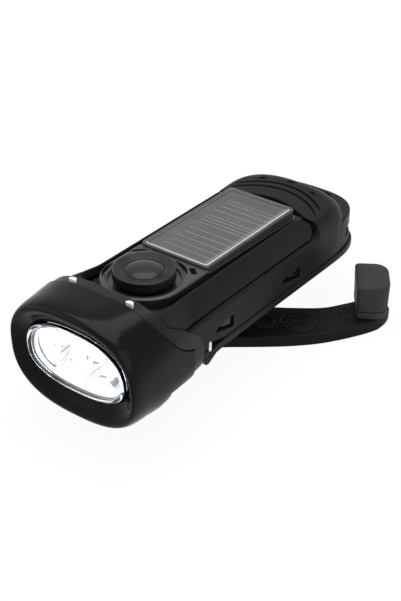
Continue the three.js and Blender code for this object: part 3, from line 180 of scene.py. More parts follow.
def through(points: Sequence[Spot], steps: int) -> Outline:
    """Draws a smooth curve through points.

    Args:
        points: Points that the curve passes.
        steps: Stretches between two neighbours.

    Returns:
        The curve, from the first point to the last.
    """
    knots = [Vector(p) for p in points]
    knots = [knots[0] * 2 - knots[1]] + knots + [knots[-1] * 2 - knots[-2]]
    curve = []
    for i in range(1, len(knots) - 2):
        a, b, c, d = knots[i - 1:i + 3]
        for k in range(steps):
            t = k / steps
            spot = 0.5 * (2 * b + (c - a) * t + (2 * a - 5 * b + 4 * c - d) * t ** 2
                          + (3 * b - a - 3 * c + d) * t ** 3)
            curve.append(tuple(spot))
    curve.append(tuple(knots[-2]))
    return curve


def bend_shares(t: float) -> Quad:
    """Gives the shares of a bend's first end, its two pulls and its last end at t from 0 to 1."""
    return (1 - t) ** 3, 3 * t * (1 - t) ** 2, 3 * t * t * (1 - t), t ** 3


def blunt_turn(angle: float, power: float) -> Spot:
    """Gives a point of the unit superellipse at an angle."""
    c, s = math.cos(angle), math.sin(angle)
    return math.copysign(abs(c) ** (2 / power), c), math.copysign(abs(s) ** (2 / power), s)


def slope(before: float, after: float) -> float:
    """Picks a slope between two stretches that never overshoots."""
    return 2 * before * after / (before + after) if before * after > 0 else 0.0


def eased(places: Sequence[float], values: Sequence[float], i: int, t: float, level_ends: bool) -> float:
    """Finds a value between two neighbours of a row, on a curve that never overshoots.

    Args:
        places: Where the row's values stand.
        values: The row.
        i: Number of the neighbour before.
        t: Share of the way to the neighbour after.
        level_ends: True where the curve starts and ends level, False where it runs on straight.

    Returns:
        The value.
    """
    run = [(b - a) / (q - p) for a, b, p, q in zip(values, values[1:], places, places[1:])]
    span = places[i + 1] - places[i]
    end = 0.0 if level_ends else run[i]
    left = slope(run[i - 1], run[i]) if i else end
    right = slope(run[i], run[i + 1]) if i + 1 < len(run) else end
    return ((2 * t ** 3 - 3 * t * t + 1) * values[i] + (t ** 3 - 2 * t * t + t) * span * left
            + (3 * t * t - 2 * t ** 3) * values[i + 1] + (t ** 3 - t * t) * span * right)


def soft_stops(low: float, high: float, soft: float, soft_low: float) -> Outline:
    """Lists the levels of a block and how far each lies inside, with rounded edges where asked.

    Args:
        low: Where the block starts.
        high: Where it ends.
        soft: Radius of the upper edge, or 0.
        soft_low: Radius of the lower edge, or 0.

    Returns:
        The pairs of level and inset.
    """
    stops = [(low, 0.0)]
    if soft_low:
        stops = [(low + soft_low * (1 - math.cos(a)), soft_low * (1 - math.sin(a))) for a in QUARTER_TURN]
    if soft:
        return stops + [(high - soft * (1 - math.sin(a)), soft * (1 - math.cos(a))) for a in QUARTER_TURN]
    return stops + [(high, 0.0)]


def shifted_inwards(outline: Outline, inset: float) -> Outline:
    """Moves a closed anticlockwise outline inwards.

    Args:
        outline: The outline.
        inset: How far each side moves in.

    Returns:
        The new outline, with the same number of points.
    """
    count = len(outline)
    moved = []
    for i, spot in enumerate(outline):
        before, after = Vector(outline[i - 1]), Vector(outline[(i + 1) % count])
        run = (after - before).normalized()
        moved.append((spot[0] - run.y * inset, spot[1] + run.x * inset))
    return moved


def level_ring(outline: Outline, level: float) -> Ring:
    """Lifts a plan outline to a level."""
    return [Vector((x, y, level)) for x, y in outline]


# Solids


class Workshop:
    """Makes solids from drawing points, works them with each other and smooths them."""

    def solid(self, name: str, points: Sequence[Vector], faces: Sequence[Sequence[int]]) -> Piece:
        """Makes a closed mesh object.

        Args:
            name: The object's name.
            points: Vertices in the drawing.
            faces: Vertex numbers of each face.

        Returns:
            The new object, with its faces looking outwards.
        """
        mesh = bpy.data.meshes.new(name)
        origin = DRAWING.origin()
        mesh.from_pydata([Vector(p) * DRAWING.unit + origin for p in points], [], [tuple(f) for f in faces])
        work = bmesh.new()
        work.from_mesh(mesh)
        bmesh.ops.remove_doubles(work, verts=work.verts, dist=DRAWING.unit * 1e-4)
        bmesh.ops.recalc_face_normals(work, faces=work.faces)
        work.to_mesh(mesh)
        work.free()
        piece = bpy.data.objects.new(name, mesh)
        bpy.context.scene.collection.objects.link(piece)
        return piece

    def loft(self, name: str, rings: Sequence[Ring], closed: bool = False) -> Piece:
        """Skins a row of rings that all have the same number of points.

        Args:
            name: The object's name.
            rings: The rings in order.
            closed: True where the last ring joins the first one, as in a tube bent into a loop.

        Returns:
            The solid.
        """
        count = len(rings[0])
        points = [spot for ring in rings for spot in ring]
        faces: list[list[int]] = []
        rows = len(rings) if closed else len(rings) - 1
        for row in range(rows):
            here, there = row * count, ((row + 1) % len(rings)) * count
            for i in range(count):
                j = (i + 1) % count
                faces.append([here + i, here + j, there + j, there + i])
        if not closed:
            faces.append(list(range(count)))
            last = (len(rings) - 1) * count
            faces.append(list(range(last, last + count)))
        return self.solid(name, points, faces)

    def prism(self, name: str, outline: Outline, low: float, high: float, axis: Axis = Axis.UP,
              soft: float = 0.0, soft_low: float = 0.0) -> Piece:
        """Draws an outline out into a prism, with rounded top and bottom edges where asked.

        Args:
            name: The object's name.
            outline: Plan points (x, y), or side points (y, z) for a prism across the body.
            low: Where it starts along the axis.
            high: Where it ends.
            axis: The direction.
            soft: Radius of the rounded upper edge.
            soft_low: Radius of the rounded lower edge.

        Returns:
            The solid.
        """
        rings = []
        for level, inset in soft_stops(low, high, soft, soft_low):
            plan = shifted_inwards(outline, inset) if inset else outline
            if axis is Axis.UP:
                rings.append(level_ring(plan, level))
            else:
                rings.append([Vector((level, u, v)) for u, v in plan])
        return self.loft(name, rings)

    def lathe(self, name: str, profile: Outline, steps: int, at: Spot = MIDDLE) -> Piece:
        """Turns a profile about an upright axis.

        Args:
            name: The object's name.
            profile: Points (radius, level), from one end on the axis to the other.
            steps: Stretches round the axis.
            at: The axis's place in plan.

        Returns:
            The solid.
        """
        points: list[Vector] = []
        rows: list[list[int]] = []
        for radius, level in profile:
            if radius < 1e-6:
                rows.append([len(points)] * steps)
                points.append(Vector((at[0], at[1], level)))
                continue
            rows.append(list(range(len(points), len(points) + steps)))
            for i in range(steps):
                angle = 2 * math.pi * i / steps
                x, y = at[0] + radius * math.cos(angle), at[1] + radius * math.sin(angle)
                points.append(Vector((x, y, level)))
        faces = []
        for a, b in zip(rows, rows[1:]):
            for i in range(steps):
                j = (i + 1) % steps
                corners = [a[i], a[j], b[j], b[i]]
                face = [v for k, v in enumerate(corners) if v not in corners[:k]]
                if len(face) > 2:
                    faces.append(face)
        return self.solid(name, points, faces)

    def disc(self, radius: float, low: float, high: float, at: Spot = MIDDLE, steps: int = 64) -> Piece:
        """Makes a plain round solid, mostly to cut with."""
        return self.lathe("round", [(0, low), (radius, low), (radius, high), (0, high)], steps, at)

    def box(self, x0: float, x1: float, y0: float, y1: float, z0: float, z1: float) -> Piece:
        """Makes a plain block, mostly to cut with."""
        return self.prism("block", [(x0, y0), (x1, y0), (x1, y1), (x0, y1)], z0, z1)

    def applied(self, piece: Piece) -> Piece:
        """Turns a solid's modifier into its new mesh.

        Args:
            piece: The solid, with its modifier.

        Returns:
            The same solid.
        """
        before = piece.data
        view = bpy.context.evaluated_depsgraph_get()
        after = bpy.data.meshes.new_from_object(piece.evaluated_get(view), depsgraph=view)
        piece.modifiers.clear()
        piece.data = after
        bpy.data.meshes.remove(before)
        return piece

    def work(self, piece: Piece, way: Cut, *tools: Piece) -> Piece:
        """Cuts, joins or keeps a solid with others, which are used up.

        Args:
            piece: The solid that changes.
            way: What is done.
            tools: The other solids, one after another.

        Returns:
            The changed solid.
        """
        for tool in tools:
            step = piece.modifiers.new("work", "BOOLEAN")
            step.operation = way.value
            step.object = tool
            step.solver = "MANIFOLD"
            self.applied(piece)
            self.drop(tool)
        return piece

    def take(self, piece: Piece, *tools: Piece) -> Piece:
        """Cuts solids out of a solid."""
        return self.work(piece, Cut.TAKE, *tools)

    def join(self, piece: Piece, *tools: Piece) -> Piece:
        """Joins solids to a solid."""
        return self.work(piece, Cut.JOIN, *tools)

    def keep(self, piece: Piece, *tools: Piece) -> Piece:
        """Keeps only what a solid shares with others."""
        return self.work(piece, Cut.KEEP, *tools)

    def across(self, outline: Outline) -> Piece:
        """Draws a side outline out right across the body, to cut with."""
        return self.prism("across", outline, -CLEAR, CLEAR, Axis.ACROSS)

    def drop(self, piece: Piece) -> None:
        """Deletes a solid and its mesh.

        Args:
            piece: The solid.
        """
        mesh = piece.data
        bpy.data.objects.remove(piece)
        bpy.data.meshes.remove(mesh)

    def turn(self, piece: Piece, degrees: float, at: Spot) -> Piece:
        """Turns a solid's mesh about an upright line and moves it there from the drawing's origin.

        Args:
            piece: The solid.
            degrees: The angle.
            at: The line's place in plan.

        Returns:
            The same solid.
        """
        origin = DRAWING.origin()
        place = Vector((at[0], at[1], 0)) * DRAWING.unit
        spin = Matrix.Rotation(math.radians(degrees), 4, "Z")
        piece.data.transform(Matrix.Translation(origin + place) @ spin @ Matrix.Translation(-origin))
        return piece

    def smooth(self, piece: Piece, crease: float = 32.0) -> Piece:
        """Shades a solid smoothly up to a crease angle.

        Args:
            piece: The solid.
            crease: Edges sharper than this, in degrees, stay crisp.

        Returns:
            The same solid.
        """
        mesh = piece.data
        work = bmesh.new()
        work.from_mesh(mesh)
        bmesh.ops.remove_doubles(work, verts=work.verts, dist=DRAWING.unit * 0.004)
        bmesh.ops.dissolve_degenerate(work, edges=work.edges, dist=DRAWING.unit * 0.002)
        for face in work.faces:
            face.smooth = True
        work.to_mesh(mesh)
        work.free()
        mesh.set_sharp_from_angle(angle=math.radians(crease))
        step = piece.modifiers.new("weights", "WEIGHTED_NORMAL")
        step.keep_sharp = True
        step.weight = 60
        return self.applied(piece)

    def copy_of(self, node: str, name: str, crease: float = 32.0) -> Piece:
        """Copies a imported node's mesh into a new object that may be smoothed.

        Args:
            node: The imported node.
            name: The new object's name.
            crease: Crease angle in degrees.

        Returns:
            The copy.
        """
        source = frame["nodes"][node]
        mesh = source.data.copy()
        mesh.transform(source.matrix_world)
        if mesh.has_custom_normals:
            mesh.normals_split_custom_set([(0.0, 0.0, 0.0)] * len(mesh.loops))
        mesh.materials.clear()
        piece = bpy.data.objects.new(name, mesh)
        bpy.context.scene.collection.objects.link(piece)
        return self.smooth(piece, crease)


SHOP = Workshop()


# Finishes


def shade(colour: Colour, share: float) -> Colour:
    """Darkens or lightens a colour."""
    return tuple(c * share for c in colour)


class Nodes:
    """A node tree, with short ways to add and join nodes."""

    def __init__(self, tree: bpy.types.NodeTree) -> None:
        """Starts with an empty tree."""
        self.tree = tree
        self.tree.nodes.clear()

    def add(self, kind: str, **settings: object) -> bpy.types.Node:
        """Adds a node and sets its properties and inputs.

        Args:
            kind: The node's type.
            settings: Property names, or input names with spaces written as underscores.

        Returns:
            The node.
        """
        node = self.tree.nodes.new(kind)
        for key, value in settings.items():
            if hasattr(node, key):
                setattr(node, key, value)
            else:
                node.inputs[key.replace("_", " ")].default_value = value
        return node

    def join(self, source: Socket, target: Socket) -> None:
        """Links two sockets."""
        self.tree.links.new(source, target)

    def join_all(self, target: bpy.types.Node, *sources: Socket) -> Socket:
        """Links sockets to a node's first inputs in order.

        Args:
            target: The node.
            sources: The sockets.

        Returns:
            The node's first output.
        """
        for source, socket in zip(sources, target.inputs):
            self.join(source, socket)
        return target.outputs[0]


class Tree(Nodes):
    """A material's nodes round one main shader."""

    def __init__(self, name: str) -> None:
        """Starts a material with its output and main shader.

        Args:
            name: The material's name.
        """
        self.material = bpy.data.materials.new(name)
        self.material.use_nodes = True
        super().__init__(self.material.node_tree)
        self.output = self.add("ShaderNodeOutputMaterial")
        self.shader = self.add("ShaderNodeBsdfPrincipled")
        self.join(self.shader.outputs[0], self.output.inputs["Surface"])
        self.coordinates = self.add("ShaderNodeTexCoord").outputs["Object"]

    def set(self, **values: object) -> None:
        """Sets the main shader's inputs.

        Args:
            values: Input names with underscores, each with a constant or with a socket to link.
        """
        for key, value in values.items():
            socket = self.shader.inputs[key.replace("_", " ")]
            if isinstance(value, Socket):
                self.join(value, socket)
            else:
                socket.default_value = (*value, 1.0) if isinstance(value, tuple) else value

    def noise(self, size: float, detail: float = 2.0, rough: float = 0.5,
              stretch: Triple = (1.0, 1.0, 1.0)) -> Socket:
        """Adds noise.

        Args:
            size: Size of one blotch in millimetres.
            detail: Octaves.
            rough: How strong the finer octaves are.
            stretch: Scale of the pattern along x, y and z.

        Returns:
            The noise value's socket.
        """
        place = self.add("ShaderNodeMapping", Scale=stretch)
        self.join(self.coordinates, place.inputs["Vector"])
        scale = 1.0 / (size * DRAWING.unit)
        node = self.add("ShaderNodeTexNoise", Scale=scale, Detail=detail, Roughness=rough)
        self.join(place.outputs[0], node.inputs["Vector"])
        return node.outputs["Fac"]

    def spread(self, value: Socket, low: float, high: float, start: float = 0.3, end: float = 0.7) -> Socket:
        """Maps a value from one span to another.

        Args:
            value: The value's socket.
            low: What the first span's start becomes.
            high: What its end becomes.
            start: The first span's start.
            end: Its end.

        Returns:
            The new value's socket.
        """
        node = self.add("ShaderNodeMapRange")
        for i, number in enumerate((start, end, low, high), start=1):
            node.inputs[i].default_value = number
        self.join(value, node.inputs[0])
        return node.outputs[0]

    def blend(self, share: Socket, first: Colour | Socket, second: Colour | Socket) -> Socket:
        """Mixes two colours.

        Args:
            share: How much of the second colour shows.
            first: A colour or a socket.
            second: A colour or a socket.

        Returns:
            The mixed colour's socket.
        """
        node = self.add("ShaderNodeMix", data_type="RGBA")
        self.join(share, node.inputs[0])
        for socket, colour in ((node.inputs[6], first), (node.inputs[7], second)):
            if isinstance(colour, tuple):
                socket.default_value = (*colour, 1.0)
            else:
                self.join(colour, socket)
        return node.outputs[2]

    def relief(self, height: Socket, depth: float, strength: float = 1.0,
               normal: Socket | None = None) -> Socket:
        """Turns a height into a bump of a depth in millimetres.

        Args:
            height: The height's socket.
            depth: Depth in millimetres.
            strength: Share of the bump that shows.
            normal: A normal to start from.

        Returns:
            The normal's socket.
        """
        node = self.add("ShaderNodeBump", Distance=depth * DRAWING.unit, Strength=strength)
        self.join(height, node.inputs["Height"])
        if normal is not None:
            self.join(normal, node.inputs["Normal"])
        return node.outputs[0]

    def rounded_normal(self, radius: float) -> Socket:
        """Softens crisp edges by a radius in millimetres."""
        return self.add("ShaderNodeBevel", samples=6, Radius=radius * DRAWING.unit).outputs[0]

    def edge_mask(self, radius: float, reach: float = 0.12) -> Socket:
        """Gives 1 on crisp edges and 0 on open faces.

        Args:
            radius: Radius of the edges in millimetres.
            reach: How soon the mask fades.

        Returns:
            The mask's socket.
        """
        soft = self.rounded_normal(radius)
        plain = self.add("ShaderNodeNewGeometry").outputs["Normal"]
        dot = self.add("ShaderNodeVectorMath", operation="DOT_PRODUCT")
        self.join_all(dot, soft, plain)
        return self.spread(dot.outputs["Value"], 1.0, 0.0, 1.0 - reach, 1.0)


@dataclass(frozen=True)
class MouldedPlastic:
    """A moulded plastic with mottling, a fine grain, and crisp edges made a little lighter, partly by
    handling wear and partly as a painted edge highlight.
    """

    name: str
    colour: Colour
    roughness: float
    grain: float = 0.35
    depth: float = 0.02
    unevenness: float = 0.05
    specular: float = 0.5
    edge: float = 0.3
    wear_and_highlight: float = 0.5

    def material(self) -> Material:
        """Builds the finish.

        Returns:
            The material.
        """
        tree = Tree(self.name)
        tree.set(Specular_IOR_Level=self.specular)
        mottle = tree.spread(tree.noise(9.0, 3.0), 0.0, 1.0)
        # Lighter colour on crisp edges: partly handling wear, partly a painted edge highlight.
        worn_and_highlit = tuple(min(c * (1 + self.wear_and_highlight) + 0.004 * self.wear_and_highlight, 1.0) for c in self.colour)
        base = tree.blend(mottle, shade(self.colour, 0.86), shade(self.colour, 1.14))
        tree.set(Base_Color=tree.blend(tree.edge_mask(self.edge), base, worn_and_highlit))
        patches = tree.noise(2.4, 4.0, 0.6)
        low, high = self.roughness - self.unevenness, self.roughness + self.unevenness
        tree.set(Roughness=tree.spread(patches, low, high),
                 Normal=tree.relief(tree.noise(self.grain, 2.0, 0.6), self.depth, 0.6,
                                    tree.rounded_normal(self.edge)))
        return tree.material


@dataclass(frozen=True)
class ClearPlastic:
    """A clear polished plastic with a faint ripple."""

    name: str
    tint: Colour = (1.0, 1.0, 1.0)
    roughness: float = 0.02
    ripple: float = 0.01

    def material(self) -> Material:
        """Builds the finish.

        Returns:
            The material.
        """
        tree = Tree(self.name)
        tree.set(Transmission_Weight=1.0, IOR=1.49, Roughness=self.roughness)
        haze = tree.spread(tree.noise(6.0, 2.0), 0.0, 1.0)
        tree.set(Base_Color=tree.blend(haze, self.tint, shade(self.tint, 0.97)),
                 Normal=tree.relief(tree.noise(3.5, 1.0), self.ripple, 0.4))
        return tree.material


class Metal(Enum):
    """Kinds of bare metal in the flashlight, with colour, roughness and how far the brushing stretches."""

    CHROME = ((0.88, 0.9, 0.92), 0.06, 1.0)
    STEEL = ((0.5, 0.51, 0.53), 0.3, 8.0)
    BRASS = ((0.78, 0.6, 0.3), 0.28, 5.0)
    MAGNET = ((0.26, 0.26, 0.28), 0.4, 2.0)
    CELL = ((0.6, 0.62, 0.64), 0.25, 9.0)


@dataclass(frozen=True)
class BareMetal:
    """A bare metal with fine brushing and dull patches, and an optional painted glow: emission standing in
    for lamp light on the metal.
    """

    name: str
    kind: Metal
    brush: float = 0.12
    glow: float = 0.0

    def material(self) -> Material:
        """Builds the finish.

        Returns:
            The material.
        """
        colour, rough, stretch = self.kind.value
        tree = Tree(self.name)
        # This emission is a painted glow that stands in for the lit lamps' light on the metal; the metal is
        # no lamp.
        tree.set(Metallic=1.0, Emission_Color=(0.78, 0.88, 1.0), Emission_Strength=self.glow)
        patch = tree.spread(tree.noise(3.0, 3.0), 0.0, 1.0)
        tree.set(Base_Color=tree.blend(patch, shade(colour, 0.9), colour))
        lines = tree.noise(self.brush, 3.0, 0.6, (1.0, 1.0, stretch))
        tree.set(Roughness=tree.spread(lines, rough * 0.8, rough * 1.25),
                 Normal=tree.relief(lines, 0.004, 0.4, tree.rounded_normal(0.12)))
        return tree.material


@dataclass(frozen=True)
class LitLamp:
    """A lit lamp: a bright die under clear epoxy."""

    name: str
    colour: Colour = (0.8, 0.9, 1.0)
    strength: float = 4.5

    def material(self) -> Material:
        """Builds the finish.

        Returns:
            The material.
        """
        tree = Tree(self.name)
        tree.set(Roughness=0.08, Emission_Strength=self.strength, Base_Color=(0.9, 0.92, 0.95))
        glow = tree.spread(tree.noise(1.2, 2.0), 0.0, 1.0)
        tree.set(Emission_Color=tree.blend(glow, shade(self.colour, 0.82), self.colour))
        return tree.material


@dataclass(frozen=True)
class SolarWafer:
    """The solar cell's grey wafer with a painted highlight that pales it towards its near and right edges."""

    name: str
    colour: Colour = (0.056, 0.055, 0.062)
    painted_highlight: Colour = (0.34, 0.34, 0.345)
    right_edge: Spot = (9.6, 12.6)
    near_edge: Spot = (4.2, 1.9)
    falloff: float = 1.8
    haze: Colour = (0.13, 0.13, 0.14)

    def painted_edge_highlight(self, tree: Tree) -> Socket:
        """Gives the share of painted highlight, from 0 inside to its most at the near and right edges.

        Args:
            tree: The material's nodes.

        Returns:
            The share's socket.
        """
        origin = DRAWING.origin()
        parts = tree.add("ShaderNodeSeparateXYZ")
        tree.join(tree.coordinates, parts.inputs[0])
        total = tree.add("ShaderNodeMath", operation="MAXIMUM")
        for i, (start, end) in enumerate((self.right_edge, self.near_edge)):
            first, last = (origin[i] + stop * DRAWING.unit for stop in (start, end))
            rise = tree.spread(parts.outputs[i], 0.0, 1.0, first, last)
            tree.join(rise, total.inputs[i])
        bent = tree.add("ShaderNodeMath", operation="POWER")
        bent.inputs[1].default_value = self.falloff
        return tree.join_all(bent, total.outputs[0])

    def material(self) -> Material:
        """Builds the finish.

        Returns:
            The material.
        """
        tree = Tree(self.name)
        tree.set(Specular_IOR_Level=0.2, Coat_Weight=0.25, Coat_Roughness=0.25, Coat_IOR=1.4)
        bands = tree.noise(2.6, 2.0, 0.5, (0.25, 1.0, 1.0))
        cloud = tree.noise(12.0, 3.0)
        base = tree.blend(tree.spread(bands, 0.0, 1.0), shade(self.colour, 0.85), shade(self.colour, 1.15))
        hazy = tree.blend(tree.spread(cloud, 0.0, 0.2), base, self.haze)
        # The near and right edges are lightened by a painted highlight.
        tree.set(Base_Color=tree.blend(self.painted_edge_highlight(tree), hazy, self.painted_highlight),
                 Roughness=tree.spread(cloud, 0.3, 0.4), Normal=tree.relief(tree.noise(0.3, 2.0), 0.01, 0.4))
        return tree.material


@dataclass(frozen=True)
class CircuitBoard:
    """Green solder mask over copper tracks."""

    name: str
    mask: Colour = (0.012, 0.09, 0.03)
    track: Colour = (0.03, 0.16, 0.05)

    def material(self) -> Material:
        """Builds the finish.

        Returns:
            The material.
        """
        tree = Tree(self.name)
        tree.set(Roughness=0.35, Coat_Weight=0.3, Coat_Roughness=0.2)
        tracks = tree.add("ShaderNodeTexBrick", Scale=260.0)
        tree.join(tree.coordinates, tracks.inputs["Vector"])
        speck = tree.spread(tree.noise(0.8, 3.0), 0.0, 0.5)
        mask = tree.blend(speck, self.mask, shade(self.mask, 0.7))
        tree.set(Base_Color=tree.blend(tracks.outputs["Fac"], mask, self.track),
                 Normal=tree.relief(tracks.outputs["Fac"], 0.035, 0.8))
        return tree.material


@dataclass(frozen=True)
class CopperWinding:
    """Enamelled copper wire wound in close turns."""

    name: str
    pitch: float = 0.22
    shadow: Colour = (0.25, 0.08, 0.03)
    colour: Colour = (0.75, 0.33, 0.15)

    def material(self) -> Material:
        """Builds the finish.

        Returns:
            The material.
        """
        tree = Tree(self.name)
        tree.set(Metallic=1.0)
        turns = tree.add("ShaderNodeTexWave", wave_type="BANDS", bands_direction="Z",
                         Scale=0.314 / (self.pitch * DRAWING.unit), Distortion=0.6)
        tree.join(tree.coordinates, turns.inputs["Vector"])
        tree.set(Base_Color=tree.blend(turns.outputs["Fac"], self.shadow, self.colour),
                 Roughness=tree.spread(tree.noise(0.5, 2.0), 0.25, 0.4),
                 Normal=tree.relief(turns.outputs["Fac"], 0.08, 1.0))
        return tree.material


Finish = MouldedPlastic | ClearPlastic | BareMetal | LitLamp | SolarWafer | CircuitBoard | CopperWinding

# The edge lightening in these finishes is partly handling wear and partly a painted edge highlight.
HEAD_GLOSS = MouldedPlastic("head_gloss_black", (0.0028, 0.0028, 0.0042), 0.16, grain=0.9, depth=0.006,
                            unevenness=0.03, specular=0.09, wear_and_highlight=0.3)
BODY_SATIN = MouldedPlastic("body_satin_black", (0.0085, 0.0085, 0.0088), 0.38, grain=0.3, depth=0.016,
                            specular=0.07, edge=0.35, wear_and_highlight=0.8)
POD_SATIN = MouldedPlastic("pod_satin_black", (0.016, 0.016, 0.0165), 0.3, grain=0.3, depth=0.012, wear_and_highlight=1.2)
COLLAR_SATIN = MouldedPlastic("collar_satin_black", (0.012, 0.012, 0.0125), 0.3, grain=0.3, depth=0.012,
                              specular=0.1, wear_and_highlight=1.0)
ARM_SATIN = MouldedPlastic("arm_satin_black", (0.0065, 0.0066, 0.0065), 0.42, grain=0.4, specular=0.07,
                           edge=0.35, wear_and_highlight=0.8)
KNOB_MATTE = MouldedPlastic("knob_matte_grey", (0.03, 0.03, 0.0305), 0.6, grain=0.28, depth=0.025,
                            specular=0.1, edge=0.4, wear_and_highlight=0.4)
BUTTON_SATIN = MouldedPlastic("button_satin_black", (0.008, 0.008, 0.009), 0.26, grain=0.3, depth=0.006,
                              specular=0.2, edge=0.2, wear_and_highlight=1.2)
FRAME_GLOSS = MouldedPlastic("module_gloss_black", (0.045, 0.045, 0.047), 0.2, grain=0.6, depth=0.006,
                             unevenness=0.03, specular=0.35, wear_and_highlight=1.8)
# Lit and shaded copies of the sheet edge's colour: a painted highlight on the near and right sides, painted
# shade on the far and left sides.
SHEET_EDGE_PAINTED_HIGHLIGHT = MouldedPlastic("sheet_edge_painted_highlight", (0.5, 0.5, 0.5), 0.3, grain=0.5, depth=0.004, edge=0.1,
                              wear_and_highlight=0.2)
SHEET_EDGE_PAINTED_SHADE = MouldedPlastic("sheet_edge_painted_shade", (0.16, 0.16, 0.165), 0.35, grain=0.5, depth=0.004, specular=0.3,
                           edge=0.1, wear_and_highlight=0.2)
LINE_GREY = MouldedPlastic("contact_line_grey", (0.3, 0.3, 0.31), 0.4, grain=0.3, depth=0.004, specular=0.3,
                           edge=0.05, wear_and_highlight=0.2)
# The lugs' bright white is a painted glow: it stands in for the lit clear housing glimpsed at the head's rear
# rim.
LUG_PAINTED_GLOW = MouldedPlastic("lug_white", (0.82, 0.82, 0.8), 0.45, grain=0.3, depth=0.01, edge=0.2, wear_and_highlight=0.0)
# Near-black with almost no gloss: painted shade that makes the charge window read as a shaded hole.
WINDOW_PAINTED_SHADE = MouldedPlastic("window_dark", (0.0006, 0.0006, 0.0008), 0.4, grain=0.6, depth=0.004,
                             unevenness=0.02, specular=0.02, edge=0.15, wear_and_highlight=0.2)
SEAL_RUBBER = MouldedPlastic("seal_rubber", (0.008, 0.008, 0.008), 0.75, grain=0.2, depth=0.03, specular=0.3,
                             edge=0.15, wear_and_highlight=0.2)
GEAR_NYLON = MouldedPlastic("gear_nylon", (0.72, 0.68, 0.56), 0.42, grain=0.3, depth=0.01, specular=0.4,
                            edge=0.15, wear_and_highlight=0.05)
SWITCH_BLACK = MouldedPlastic("switch_black", (0.012, 0.012, 0.012), 0.5, grain=0.25, depth=0.015,
                              specular=0.4, edge=0.15, wear_and_highlight=0.4)
PLUNGER_BEIGE = MouldedPlastic("plunger_beige", (0.5, 0.47, 0.4), 0.45, grain=0.25, depth=0.01, specular=0.4,
                               edge=0.1, wear_and_highlight=0.1)
LENS_CLEAR = ClearPlastic("lens_clear")
# The reflector's glow is painted light: emission on a part that is no lamp.
CHROME = BareMetal("reflector_chrome", Metal.CHROME, brush=2.0, glow=0.28)
STEEL = BareMetal("steel", Metal.STEEL)
BRASS = BareMetal("brass", Metal.BRASS)
MAGNET = BareMetal("magnet", Metal.MAGNET)
CELL_METAL = BareMetal("cell_metal", Metal.CELL)
LAMP_LIT = LitLamp("lamp_lit")
WAFER = SolarWafer("solar_wafer")
BOARD = CircuitBoard("circuit_board_green")
COPPER = CopperWinding("copper_winding")


class Bench:
    """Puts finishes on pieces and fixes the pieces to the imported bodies."""

    def __init__(self) -> None:
        """Starts with no finish made yet."""
        self.made: dict[str, Material] = {}

    def material(self, finish: Finish) -> Material:
        """Gives a finish's material, made at its first use.

        Args:
            finish: The finish.

        Returns:
            The material.
        """
        if finish.name not in self.made:
            self.made[finish.name] = finish.material()
        return self.made[finish.name]

    def fit(self, piece: Piece, body: str, slot: str, finish: Finish, *nodes: str) -> Piece:
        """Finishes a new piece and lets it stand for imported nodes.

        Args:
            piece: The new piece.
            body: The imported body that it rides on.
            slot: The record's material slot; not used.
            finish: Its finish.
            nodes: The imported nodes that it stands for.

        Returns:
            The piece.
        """
        piece.data.materials.clear()
        piece.data.materials.append(self.material(finish))
        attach(piece, body)
        if nodes:
            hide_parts(*nodes)
        stands_for = ", ".join(nodes) or "nothing"
        log.info("%s: %d faces, stands for %s", piece.name, len(piece.data.polygons), stands_for)
        return piece

    def keep(self, finish: Finish, *nodes: str) -> None:
        """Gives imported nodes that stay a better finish.

        Args:
            finish: Their finish.
            nodes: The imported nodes.
        """
        for node in nodes:
            for place in frame["nodes"][node].material_slots:
                place.link = "OBJECT"
                place.material = self.material(finish)
            log.info("%s: kept with %s", node, finish.name)

    def smooth_copies(self, body: str, slot: str, finish: Finish, *nodes: str, crease: float = 32.0) -> None:
        """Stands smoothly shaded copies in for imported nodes."""
        for node in nodes:
            self.fit(SHOP.copy_of(node, f"{node}_smooth", crease), body, slot, finish, node)


BENCH = Bench()


# Head


@dataclass(frozen=True)
class Section:
    """One section of the head: a superellipse across the body."""

    along: float
    half: float
    middle: float
    up: float
    down: float
    power: float
    lean: float = 0.0

    def ring(self, inset: float = 0.0, steps: int = 96) -> Ring:
        """Draws the section as a ring.

        Args:
            inset: How far the ring lies inside the section.
            steps: Points on the ring.

        Returns:
            The ring.
        """
        points = []
        for i in range(steps):
            across, rise = blunt_turn(2 * math.pi * i / steps, self.power)
            z = self.middle + rise * ((self.up if rise > 0 else self.down) - inset)
            y = self.along + self.lean * (z - self.middle)
            points.append(Vector((across * (self.half - inset), y, z)))
        return points

    def moved(self, along: float) -> "Section":
        """Gives the same section at another place."""
        return replace(self, along=along)


def between(a: Section, b: Section, share: float) -> Section:
    """Mixes two sections."""
    keys = ("along", "half", "middle", "up", "down", "power", "lean")
    return Section(*(getattr(a, k) + (getattr(b, k) - getattr(a, k)) * share for k in keys))


